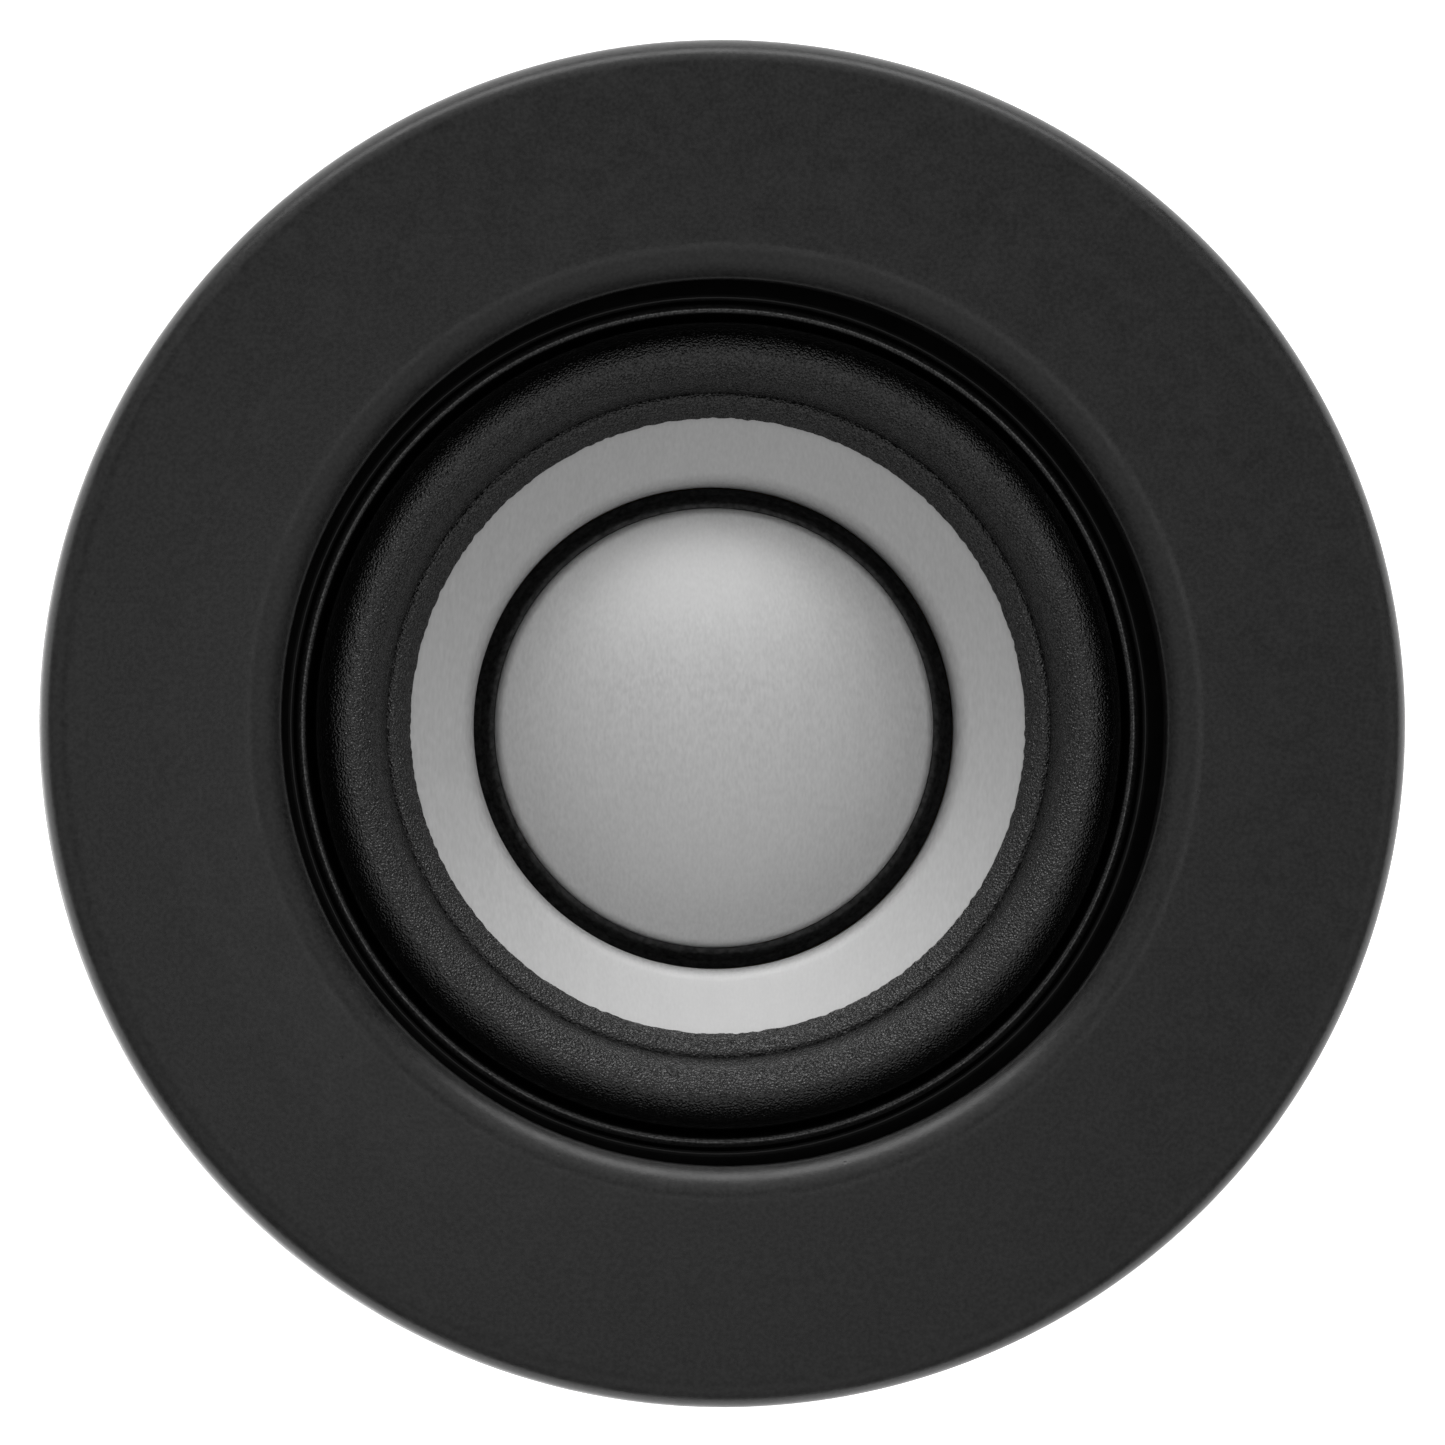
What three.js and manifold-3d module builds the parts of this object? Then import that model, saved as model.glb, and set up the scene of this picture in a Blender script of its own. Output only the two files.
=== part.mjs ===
// Flush-mount car tweeter: a small metal-cone driver with a bright dome, held in a wide moulded flange.
// Its threaded barrel goes through a round hole in a panel, and a washer and a lock ring clamp it there.
// Millimetres, +Z is the way the sound leaves, the origin is the centre of the magnet cup's rear face.
import * as THREE from 'three';
import { mergeVertices } from 'three/addons/utils/BufferGeometryUtils.js';
import Module from 'manifold-3d';

const wasm = await Module();
wasm.setup();

// ---------------------------------------------------------------- driving dimensions
const HEIGHT = 25.5; // magnet rear face to the front of the flange
const FLANGE_R = 30;
const BORE_R = 19.05; // opening in the flange, in front of the diaphragm
const LIP_ROUND = 2; // rounding of the opening's front edge
const RIM_ROUND = 1.1; // rounding of the flange's outer edge
const CROWN_FALL = 0.35; // the flange's face falls this much from the lip to the rim
const MIDDLE_FALL = 0.12; // and this much half-way
const FLANGE_BACK = 22.7; // rear face of the flange's rim
const SEAT = 20.9; // shoulder inside the flange that the basket is screwed against

const BARREL_IN_R = 22.5;
const BARREL_END = 7.5; // rear end of the threaded barrel
const THREAD_ROOT_R = 23.9;
const THREAD_CREST_R = 24.7;
const PITCH = 3;
const THREAD_BOTTOM = 9;
const THREAD_TOP = 20.1;
const RIDGE_EMBED = 0.4; // how far a thread ridge's root is buried in its wall
const RIDGE_CREST = 0.7; // width of a thread ridge's crest
const BARREL_RIDGE_ROOT = 1.5; // widths of the two ridges' roots
const RING_RIDGE_ROOT = 1.25;
const FLAT_X = 23.6; // distance from the axis to the two flats that key the clamp washer
const CLEAR = 0.3; // gap between pieces that touch or slide

const RING_OUT_R = 28.8;
const RING_TALL = 4.4;
const RIDGE_START = THREAD_BOTTOM + PITCH / 2; // the ring's own ridge lies half a pitch off the barrel's
const RING_BACK = RIDGE_START - PITCH / 4; // rear face of the lock ring as stored
const RING_EDGE = 0.5; // bevel round the ring
const RING_RIDGE_TURNS = 0.95;
const SCALLOP = { count: 16, r: 2.1, centreR: RING_OUT_R + 1.1, webThick: 0.9 };
const WASHER_THICK = 1.3;
const WASHER_R = RING_OUT_R - 0.2;
const GASKET_THICK = 1;
const GASKET_R = FLANGE_R - 0.8;

const SCREW_CIRCLE_R = 20.9;
const SCREW_SHANK_R = 0.8;
const SCREW_HEAD_R = 1.4;
const SCREW_HEAD_BACK = 17.8;
const SCREW_HEAD_FRONT = 18.7;
const SCREW_BITE = 2; // length of the screw inside the flange
const SCREW_ANGLES = [30, 150, 270];
const CROSS = { half: 0.9, width: 0.36, deep: 0.5 }; // cross recess in the head

const SHEET = 0.2; // thickness of the cone and dome
const CONE_NECK_R = 10.65;
const CONE_SEEN_R = 13.58; // where the surround's inner lip ends on the cone
const CONE_OUT_R = 14.5;
const CONE_SEEN_Z = 20.1;
const CONE_SLOPE = 24; // degrees
const CONE_BEND_R = 0.9; // radius of the bend between cone and neck
const CONE_END = 16.6;
const DOME_R = 9.6;
const DOME_EDGE_Z = 17.85;
const DOME_RISE = 3.1;
const DOME_EDGE_ROUND = 0.7;
const DOME_END = 17.4;

const SURROUND_THICK = 0.3;
const SURROUND_OUT_R = 18.65;
const VALLEY_R = 14.65; // where the roll begins on the inner lip
const ROLL_R = 16.3; // radius of the surround's crest
const ROLL_TOP = 22.3;
const TROUGH = { r: 17.8, z: 19.6 }; // foot of the roll, beside the outer lip
const LIP_IN_R = 18.1;
const LIP_Z = 20.65; // front of the surround's outer lip

const FORMER_IN_R = 9.45;
const FORMER_OUT_R = 9.6;
const FORMER_BACK = 7.4;
const COIL_OUT_R = 10.1;
const COIL_BACK = 7.6;
const COIL_FRONT = 10.9;

const YOKE_R = 13.2;
const YOKE_IN_R = 10.45;
const YOKE_TALL = 10.5;
const YOKE_FLOOR = 2;
const MAGNET_R = 8.6;
const MAGNET_TALL = 6.15;
const POLE_R = 8.9;
const POLE_TALL = 2;
const CAP_SHEET = 0.2; // thickness of the copper shorting cap
const FELT_R = 8.2;
const FELT_TALL = 1.4;
const GLUE = 0.05; // layer between the bonded pieces of the motor

const WALL = 1.3; // thickness of the basket's collar
const COLLAR_BACK = 8.6;
const SHELF = 12.6; // height at which the basket's collar widens into its body
const BODY = { backR: 18.2, backZ: 13.4, frontR: 18.5, frontZ: 17.2, inR: 17.2 };
const LEDGE = { r: 15.2, z: 13.95, footR: 14.4, footZ: 12 }; // seat of the spider's edge
const RIM = { backR: 19.4, backZ: 18.8, thick: 1.6, ridge: 0.2, ridgeGap: 0.07, lipGap: 0.1 };
const WINDOW = { count: 6, half: 5.5, bottom: 14.6, top: 18.6, first: 30 };
const PAD = { innerX: 15.6, bottom: 11.3, top: 13.6 }; // boss for the terminal board

const SPIDER_Z = 14.25;
const SPIDER_OUT_R = 16.7;
const SPIDER_WAVES = 3.5;
const SPIDER_SWING = 0.4; // height of a corrugation above its middle
const SPIDER_THICK = 0.3;
const SPIDER_WAVE_IN = 10.4;
const SPIDER_WAVE_OUT = 14.9;

const BOARD = { face: 19.1, thick: 1, half: 6.5, bottom: 8, top: 17 };
const BOARD_SCREW = { y: -0.5, z: 12.5, r: 0.7, headR: 1.15, headTall: 0.7, end: 16.8, slot: 0.3 };
const BLADE_THICK = 0.5;
const BLADE_TIP = 1.6;
const BLADE_BEVEL = 0.6;
const POSITIVE = { y: 3.8, width: 4.8, top: 11.5 };
const NEGATIVE = { y: -3.8, width: 2.8, top: 16.3 };
const LINK_TAG = { y: 3.8, width: 4.8, bottom: 12.6, top: 16.3 };
const BLADE_RIVET_Z = 9.6;
const LINK_RIVET_Z = 15;
const RIVET_R = 0.6;
const RIVET_HEAD_R = 1.1;
const RIVET_HEAD_TALL = 0.3;
const LOOSE = 0.15; // how much wider in radius a hole is than its rivet or screw

const CAPACITOR = { r: 2.5, long: 11, y: 18, z: 8.8, leadStep: 2 };
const CAPACITOR_GROOVE = 0.25;
const ADHESIVE = { half: 3.2, toY: 0.6, fromY: 1.6, lift: 0.2, tall: 1 };
const LEAD_R = 0.3;
const LEAD_IN_Z = 10.9; // heights at which the capacitor's leads meet the tabs
const LEAD_OUT_Z = 13.3;
const TINSEL_R = 0.35;

const FINE = 40; // facets round the large rings
const MEDIUM = 32; // facets round the inner pieces
const SMALL = 12; // facets round screws and rivets
const THREAD_STEPS = 30; // facets round one turn of a thread

// ---------------------------------------------------------------- shared helpers
const rad = THREE.MathUtils.degToRad;

/** Points of a circular arc in the (radius, height) plane. */
function arc(centreR, centreZ, radius, fromDeg, toDeg, steps) {
  return Array.from({ length: steps + 1 }, (_, i) => {
    const a = rad(fromDeg + ((toDeg - fromDeg) * i) / steps);
    return [centreR + radius * Math.cos(a), centreZ + radius * Math.sin(a)];
  });
}

/** A solid of revolution about Z; its outline of [radius, height] points is closed or ends on the axis. */
function turned(outline, segments = MEDIUM) {
  const onAxis = outline[0][0] === 0 && outline.at(-1)[0] === 0;
  const loop = onAxis ? outline : [...outline, outline[0]];
  let area = 0;
  loop.forEach(([r, z], i) => {
    const [nextR, nextZ] = loop[(i + 1) % loop.length];
    area += r * nextZ - nextR * z;
  });
  const ordered = area > 0 ? loop : loop.toReversed();
  const points = ordered.map(([r, z]) => new THREE.Vector2(r, z));
  return new THREE.LatheGeometry(points, segments).rotateX(Math.PI / 2);
}

/** A flat ring or disc with square edges. */
function flatRing(inR, outR, bottom, top, segments = MEDIUM) {
  const outline = inR > 0
    ? [[inR, bottom], [outR, bottom], [outR, top], [inR, top]]
    : [[0, bottom], [outR, bottom], [outR, top], [0, top]];
  return turned(outline, segments);
}

/** A box from its lowest to its highest corner. */
function box(low, high) {
  const size = high.map((h, i) => h - low[i]);
  const middle = high.map((h, i) => (h + low[i]) / 2);
  return new THREE.BoxGeometry(...size).translate(...middle);
}

/** A round bar between two heights, standing at (x, y). */
function upright(x, y, radius, bottom, top, segments = SMALL) {
  return new THREE.CylinderGeometry(radius, radius, top - bottom, segments)
    .rotateX(Math.PI / 2)
    .translate(x, y, (top + bottom) / 2);
}

/** A round bar along X at (y, z), from lowX to highX. */
function alongX(y, z, radius, lowX, highX, segments = SMALL) {
  return new THREE.CylinderGeometry(radius, radius, highX - lowX, segments)
    .rotateZ(Math.PI / 2)
    .translate((lowX + highX) / 2, y, z);
}

function toSolid(geometry) {
  const bare = geometry.clone();
  bare.deleteAttribute('normal');
  bare.deleteAttribute('uv');
  const merged = mergeVertices(bare, 1e-4);
  const index = Array.from(merged.index.array);
  const triangles = [];
  for (let i = 0; i < index.length; i += 3) {
    const [a, b, c] = index.slice(i, i + 3);
    if (a !== b && b !== c && c !== a) triangles.push(a, b, c);
  }
  return new wasm.Manifold(new wasm.Mesh({
    numProp: 3,
    vertProperties: new Float32Array(merged.attributes.position.array),
    triVerts: new Uint32Array(triangles),
  }));
}

function toGeometry(solid) {
  const mesh = solid.getMesh();
  const geometry = new THREE.BufferGeometry();
  geometry.setAttribute('position', new THREE.BufferAttribute(mesh.vertProperties, mesh.numProp));
  geometry.setIndex(new THREE.BufferAttribute(mesh.triVerts, 1));
  geometry.computeVertexNormals();
  return geometry;
}

/** The first geometry with the others joined on and then the cutters taken away. */
function shaped(base, { add = [], cut = [] }) {
  let solid = toSolid(base);
  for (const piece of add) solid = solid.add(toSolid(piece));
  for (const piece of cut) solid = solid.subtract(toSolid(piece));
  return toGeometry(solid);
}

/** A thread ridge: its section runs from baseR to crestR. Its helix passes height bottom at angle 0. */
function threadRidge(baseR, crestR, baseWidth, crestWidth, bottom, turns) {
  const firstTurn = 0.012; // keeps the ridge's square end off the edges of the wall's facets
  const section = new THREE.Shape([
    new THREE.Vector2(baseR, -baseWidth / 2),
    new THREE.Vector2(crestR, -crestWidth / 2),
    new THREE.Vector2(crestR, crestWidth / 2),
    new THREE.Vector2(baseR, baseWidth / 2),
  ]);
  const steps = Math.round(turns * THREAD_STEPS);
  const ridge = new THREE.ExtrudeGeometry(section, { steps, depth: turns, bevelEnabled: false });
  const position = ridge.attributes.position;
  for (let i = 0; i < position.count; i += 1) {
    const radius = position.getX(i);
    const turn = firstTurn + position.getZ(i);
    const angle = 2 * Math.PI * turn;
    const z = bottom + position.getY(i) + PITCH * turn;
    position.setXYZ(i, radius * Math.cos(angle), radius * Math.sin(angle), z);
  }
  return outward(ridge);
}

/** Turns a closed geometry's faces outward where a mapping has turned them in. */
function outward(geometry) {
  const flat = geometry.index ? geometry.toNonIndexed() : geometry;
  const p = flat.attributes.position;
  const corner = (i) => new THREE.Vector3().fromBufferAttribute(p, i);
  let volume = 0;
  for (let i = 0; i < p.count; i += 3) volume += corner(i).dot(corner(i + 1).cross(corner(i + 2)));
  if (volume < 0) {
    for (let i = 0; i < p.count; i += 3) {
      const first = corner(i);
      const last = corner(i + 2);
      p.setXYZ(i, last.x, last.y, last.z);
      p.setXYZ(i + 2, first.x, first.y, first.z);
    }
  }
  return flat;
}

/** A round wire through the given points. */
function wire(points, radius, steps) {
  const places = points.map((p) => new THREE.Vector3(...p));
  const extrudePath = new THREE.CatmullRomCurve3(places, false, 'centripetal');
  const section = new THREE.Shape().absarc(0, 0, radius, 0, 2 * Math.PI, false);
  return new THREE.ExtrudeGeometry(section, { steps, extrudePath, curveSegments: 4, bevelEnabled: false });
}

function named(name, geometry, look) {
  const mesh = new THREE.Mesh(geometry, new THREE.MeshStandardMaterial(look));
  mesh.name = name;
  return mesh;
}

const LOOK = {
  moulding: { color: 0x17181a, roughness: 0.55, metalness: 0 },
  basket: { color: 0x101113, roughness: 0.5, metalness: 0 },
  rubber: { color: 0x121213, roughness: 0.75, metalness: 0 },
  satinAluminium: { color: 0xb4b5b7, roughness: 0.35, metalness: 1 },
  foam: { color: 0x0e0e0e, roughness: 0.95, metalness: 0 },
  zincSteel: { color: 0x9fa2a5, roughness: 0.35, metalness: 1 },
  blackSteel: { color: 0x1c1d1f, roughness: 0.4, metalness: 1 },
  nickel: { color: 0xb9b7b0, roughness: 0.2, metalness: 1 },
  copper: { color: 0xb06a42, roughness: 0.3, metalness: 1 },
  polyimide: { color: 0x8a5a24, roughness: 0.4, metalness: 0 },
  felt: { color: 0x3a3a38, roughness: 1, metalness: 0 },
  cloth: { color: 0xa8854e, roughness: 0.95, metalness: 0 },
  fibre: { color: 0x5b3a22, roughness: 0.7, metalness: 0 },
  tinned: { color: 0xc3c4c2, roughness: 0.3, metalness: 1 },
  brass: { color: 0xb08d4a, roughness: 0.3, metalness: 1 },
  sleeve: { color: 0x1d2b52, roughness: 0.4, metalness: 0 },
  braid: { color: 0xa9764e, roughness: 0.6, metalness: 0.6 },
};

// ---------------------------------------------------------------- flange and panel clamp
const onScrewCircle = (deg) => [SCREW_CIRCLE_R * Math.cos(rad(deg)), SCREW_CIRCLE_R * Math.sin(rad(deg))];

/** The visible trim flange and the threaded barrel behind it, one moulding. */
function frontFlange() {
  const rimFront = HEIGHT - CROWN_FALL;
  const edge = 0.3;
  const outline = [
    [BORE_R, SEAT],
    ...arc(BORE_R + LIP_ROUND, HEIGHT - LIP_ROUND, LIP_ROUND, 180, 90, 5),
    [(BORE_R + FLANGE_R) / 2, HEIGHT - MIDDLE_FALL],
    ...arc(FLANGE_R - RIM_ROUND, rimFront - RIM_ROUND, RIM_ROUND, 80, 0, 4),
    [FLANGE_R, FLANGE_BACK + edge],
    [FLANGE_R - edge, FLANGE_BACK],
    [THREAD_ROOT_R, FLANGE_BACK],
    [THREAD_ROOT_R, BARREL_END + edge],
    [THREAD_ROOT_R - edge, BARREL_END],
    [BARREL_IN_R, BARREL_END],
    [BARREL_IN_R, SEAT],
  ];
  const turns = (THREAD_TOP - THREAD_BOTTOM) / PITCH;
  const rootR = THREAD_ROOT_R - RIDGE_EMBED;
  const ridge = threadRidge(rootR, THREAD_CREST_R, BARREL_RIDGE_ROOT, RIDGE_CREST, THREAD_BOTTOM, turns);
  const flats = [-1, 1].map((side) => {
    const inner = side * FLAT_X;
    const outer = side * (THREAD_CREST_R + 1);
    const low = [Math.min(inner, outer), -FLANGE_R / 2, BARREL_END - 1];
    const high = [Math.max(inner, outer), FLANGE_R / 2, FLANGE_BACK - GASKET_THICK - CLEAR];
    return box(low, high);
  });
  const pilots = SCREW_ANGLES.map((deg) => {
    const [x, y] = onScrewCircle(deg);
    return upright(x, y, SCREW_SHANK_R + 0.1, SEAT - 1, SEAT + SCREW_BITE + 0.2);
  });
  const geometry = shaped(turned(outline, FINE), { add: [ridge], cut: [...flats, ...pilots] });
  return named('front_flange', geometry, LOOK.moulding);
}

/** Foam ring that seals the flange against the panel. */
function panelGasket() {
  const top = FLANGE_BACK - CLEAR;
  const geometry = flatRing(THREAD_CREST_R + CLEAR, GASKET_R, top - GASKET_THICK, top, FINE);
  return named('panel_gasket', geometry, LOOK.foam);
}

/** Slides along the barrel without turning: the two flats in its hole ride on the barrel's flats. */
function clampWasher() {
  const holeR = THREAD_CREST_R + CLEAR;
  const flat = FLAT_X + CLEAR;
  const corner = Math.acos(flat / holeR);
  const shape = new THREE.Shape().absarc(0, 0, WASHER_R, 0, 2 * Math.PI, false);
  const hole = new THREE.Path();
  hole.absarc(0, 0, holeR, corner, Math.PI - corner, false);
  hole.absarc(0, 0, holeR, Math.PI + corner, 2 * Math.PI - corner, false);
  hole.closePath();
  shape.holes.push(hole);
  const geometry = new THREE.ExtrudeGeometry(shape, {
    depth: WASHER_THICK, bevelEnabled: false, curveSegments: FINE / 2,
  });
  const mesh = named('clamp_washer', geometry, LOOK.zincSteel);
  mesh.position.z = RING_BACK + RING_TALL + CLEAR;
  return mesh;
}

/** The plastic nut, with finger scallops, that runs on the barrel's thread. */
function lockRing() {
  const front = RING_BACK + RING_TALL;
  const boreR = THREAD_CREST_R + CLEAR;
  const outline = [
    [boreR, RING_BACK],
    [RING_OUT_R - RING_EDGE, RING_BACK],
    [RING_OUT_R, RING_BACK + RING_EDGE],
    [RING_OUT_R, front - RING_EDGE],
    [RING_OUT_R - RING_EDGE, front],
    [boreR, front],
  ];
  const rootR = boreR + RIDGE_EMBED;
  const crestR = THREAD_ROOT_R + CLEAR;
  const ridge = threadRidge(rootR, crestR, RING_RIDGE_ROOT, RIDGE_CREST, RIDGE_START, RING_RIDGE_TURNS);
  const scallops = Array.from({ length: SCALLOP.count }, (_, i) => {
    const a = (2 * Math.PI * (i + 0.5)) / SCALLOP.count;
    const [x, y] = [SCALLOP.centreR * Math.cos(a), SCALLOP.centreR * Math.sin(a)];
    return upright(x, y, SCALLOP.r, RING_BACK - 1, front - SCALLOP.webThick, 20);
  });
  return named('lock_ring', shaped(turned(outline, FINE), { add: [ridge], cut: scallops }), LOOK.moulding);
}

// ---------------------------------------------------------------- basket and its screws
/** The driver's frame: a rim, a ledge for the spider, windows, and a collar for the magnet cup. */
function basket() {
  const coilHoleR = COIL_OUT_R + 0.85;
  const cupFront = YOKE_TALL + CLEAR;
  const collarIn = YOKE_R + CLEAR;
  const rimOut = BARREL_IN_R - CLEAR;
  const rimTop = SEAT - CLEAR;
  const ridgeOut = BORE_R - RIM.ridgeGap;
  const ridgeIn = SURROUND_OUT_R + RIM.lipGap;
  const ridgeTop = rimTop + RIM.ridge;
  const lipSeat = LIP_Z - SURROUND_THICK * 1.5;
  const lipSeatIn = LIP_IN_R + SURROUND_THICK * 0.7;
  const outline = [
    [coilHoleR, cupFront],
    [collarIn, cupFront],
    [collarIn, COLLAR_BACK],
    [collarIn + WALL, COLLAR_BACK],
    [collarIn + WALL, SHELF],
    [BODY.backR, BODY.backZ],
    [BODY.frontR, BODY.frontZ],
    [RIM.backR, RIM.backZ],
    [rimOut, rimTop - RIM.thick],
    [rimOut, rimTop],
    [ridgeOut, rimTop],
    [ridgeOut, ridgeTop],
    [ridgeIn, ridgeTop],
    [ridgeIn, lipSeat],
    [lipSeatIn, lipSeat],
    [lipSeatIn, RIM.backZ],
    [BODY.inR, BODY.frontZ],
    [BODY.inR, LEDGE.z],
    [LEDGE.r, LEDGE.z],
    [LEDGE.footR, LEDGE.footZ],
    [coilHoleR, LEDGE.footZ],
  ];
  const windows = Array.from({ length: WINDOW.count }, (_, i) => (
    box([LEDGE.footR, -WINDOW.half, WINDOW.bottom], [rimOut + 1, WINDOW.half, WINDOW.top])
      .rotateZ(rad(WINDOW.first + (360 / WINDOW.count) * i))
  ));
  const padOuter = BOARD.face - CLEAR;
  const pad = box([-padOuter, -BOARD.half, PAD.bottom], [-PAD.innerX, BOARD.half, PAD.top]);
  const screwHoles = SCREW_ANGLES.map((deg) => {
    const [x, y] = onScrewCircle(deg);
    return upright(x, y, SCREW_SHANK_R + 0.2, SCREW_HEAD_BACK, SEAT + 1);
  });
  const { y, z, r, end } = BOARD_SCREW;
  const boardScrewHole = alongX(y, z, r + 0.1, -BOARD.face - 1, -(end - 0.4));
  const cut = [...windows, ...screwHoles, boardScrewHole];
  return named('basket', shaped(turned(outline, MEDIUM), { add: [pad], cut }), LOOK.basket);
}

/** A cross-head screw driven from behind, through the basket's rim into the flange. */
function basketScrew(number) {
  const edge = 0.4;
  const [x, y] = onScrewCircle(SCREW_ANGLES[number - 1]);
  const outline = [
    [0, SCREW_HEAD_BACK],
    [SCREW_HEAD_R - edge, SCREW_HEAD_BACK],
    [SCREW_HEAD_R, SCREW_HEAD_BACK + edge],
    [SCREW_HEAD_R, SCREW_HEAD_FRONT],
    [SCREW_SHANK_R, SCREW_HEAD_FRONT],
    [SCREW_SHANK_R, SEAT + SCREW_BITE - 0.5],
    [0, SEAT + SCREW_BITE],
  ];
  const { half, width, deep } = CROSS;
  const [cutBack, cutFront] = [SCREW_HEAD_BACK - 1, SCREW_HEAD_BACK + deep];
  const cross = [
    box([-half, -width / 2, cutBack], [half, width / 2, cutFront]),
    box([-width / 2, -half, cutBack], [width / 2, half, cutFront]),
  ];
  const geometry = shaped(turned(outline, SMALL), { cut: cross });
  const mesh = named(`basket_screw_${number}`, geometry, LOOK.blackSteel);
  mesh.position.set(x, y, 0);
  return mesh;
}

// ---------------------------------------------------------------- diaphragm
const CONE_RISE = Math.tan(rad(CONE_SLOPE));
const coneFront = (r) => CONE_SEEN_Z + (r - CONE_SEEN_R) * CONE_RISE;

/** The rubber half roll, with a flat outer lip and an inner lip that lies on the cone. */
function surround() {
  const lipMiddle = LIP_Z - SURROUND_THICK / 2;
  const valleyZ = coneFront(VALLEY_R) + SURROUND_THICK * 0.67;
  const inner = [72, 48, 24].map((deg) => [
    ROLL_R - (ROLL_R - VALLEY_R) * Math.sin(rad(deg)),
    valleyZ + (ROLL_TOP - valleyZ) * Math.cos(rad(deg)),
  ]);
  const outer = [0, 26, 52, 76].map((deg) => [
    ROLL_R + (TROUGH.r - ROLL_R) * Math.sin(rad(deg)),
    TROUGH.z + (ROLL_TOP - TROUGH.z) * Math.cos(rad(deg)),
  ]);
  const middle = [
    [CONE_SEEN_R, coneFront(CONE_SEEN_R) + SURROUND_THICK * 0.67],
    [VALLEY_R, valleyZ],
    ...inner,
    ...outer,
    [TROUGH.r + 0.1, TROUGH.z],
    [LIP_IN_R, lipMiddle],
    [SURROUND_OUT_R, lipMiddle],
  ];
  return named('surround', turned(sheetOutline(middle, SURROUND_THICK), FINE), LOOK.rubber);
}

/** The closed outline of a sheet of even thickness whose middle follows the given points. */
function sheetOutline(middle, thick) {
  const side = (sign) => middle.map(([r, z], i) => {
    const before = middle[Math.max(0, i - 1)];
    const after = middle[Math.min(middle.length - 1, i + 1)];
    const length = Math.hypot(after[0] - before[0], after[1] - before[1]);
    const normal = [-(after[1] - before[1]) / length, (after[0] - before[0]) / length];
    return [r + (sign * thick * normal[0]) / 2, z + (sign * thick * normal[1]) / 2];
  });
  return [...side(1), ...side(-1).toReversed()];
}

/** The shallow aluminium cone, drawn down into a short neck. */
function cone() {
  const sheetMiddle = (r) => [r, coneFront(r) - SHEET / 2];
  const neckMiddle = CONE_NECK_R + SHEET / 2;
  const slope = rad(CONE_SLOPE);
  const bendStart = sheetMiddle(neckMiddle + CONE_BEND_R * (1 - Math.sin(slope)));
  const bend = [60, 30, 0].map((deg) => [
    neckMiddle + CONE_BEND_R * (1 - Math.cos(rad(deg))),
    bendStart[1] + CONE_BEND_R * (Math.sin(rad(deg)) - Math.cos(slope)),
  ]);
  const middle = [sheetMiddle(CONE_OUT_R), bendStart, ...bend, [neckMiddle, CONE_END]];
  return named('cone', turned(sheetOutline(middle, SHEET), FINE), LOOK.satinAluminium);
}

/** The bright aluminium dome that closes the voice coil: a shallow cap that turns into a short wall. */
function dome() {
  const shoulderR = DOME_R - DOME_EDGE_ROUND;
  const halfAngle = 2 * Math.atan((DOME_RISE - DOME_EDGE_ROUND) / shoulderR);
  const capR = shoulderR / Math.sin(halfAngle) + DOME_EDGE_ROUND;
  const apex = DOME_EDGE_Z + DOME_RISE;
  const edgeDeg = 90 - THREE.MathUtils.radToDeg(halfAngle);
  const outline = (inset) => [
    ...arc(0, apex - capR, capR - inset, 90, edgeDeg, 5),
    ...arc(shoulderR, DOME_EDGE_Z, DOME_EDGE_ROUND - inset, edgeDeg, 0, 3).slice(1),
    [DOME_R - inset, DOME_END],
  ];
  const outer = outline(0);
  const inner = outline(SHEET).toReversed();
  outer[0][0] = 0;
  inner.at(-1)[0] = 0;
  return named('dome', turned([...outer, ...inner], MEDIUM), LOOK.satinAluminium);
}

/** The black ring that bonds the dome and the coil former into the cone's neck. */
function domeBondingRing() {
  const inR = FORMER_OUT_R + GLUE;
  const outR = CONE_NECK_R - GLUE;
  const back = CONE_END + 0.1;
  const top = DOME_EDGE_Z - 0.1;
  const outline = [
    [inR, back],
    [outR, back],
    [outR, top - 0.6],
    [outR - 0.3, top - 0.5],
    [outR - 0.4, top - 0.13],
    [outR - 0.6, top],
    [inR, top],
  ];
  return named('dome_bonding_ring', turned(outline, MEDIUM), LOOK.rubber);
}

function voiceCoilFormer() {
  const geometry = flatRing(FORMER_IN_R, FORMER_OUT_R, FORMER_BACK, DOME_END - GLUE, MEDIUM);
  return named('voice_coil_former', geometry, LOOK.polyimide);
}

function voiceCoilWinding() {
  const geometry = flatRing(FORMER_OUT_R + GLUE, COIL_OUT_R, COIL_BACK, COIL_FRONT, MEDIUM);
  return named('voice_coil_winding', geometry, LOOK.copper);
}

/** The corrugated cloth disc that centres the coil. */
function spider() {
  const bends = SPIDER_WAVES * 2;
  const waves = Array.from({ length: bends + 1 }, (_, i) => [
    SPIDER_WAVE_IN + ((SPIDER_WAVE_OUT - SPIDER_WAVE_IN) * i) / bends,
    SPIDER_Z + SPIDER_SWING * (i % 2 ? 1 : -1),
  ]);
  const middle = [[FORMER_OUT_R + GLUE * 2, SPIDER_Z], ...waves, [SPIDER_OUT_R, SPIDER_Z]];
  return named('spider', turned(sheetOutline(middle, SPIDER_THICK), MEDIUM), LOOK.cloth);
}

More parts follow.
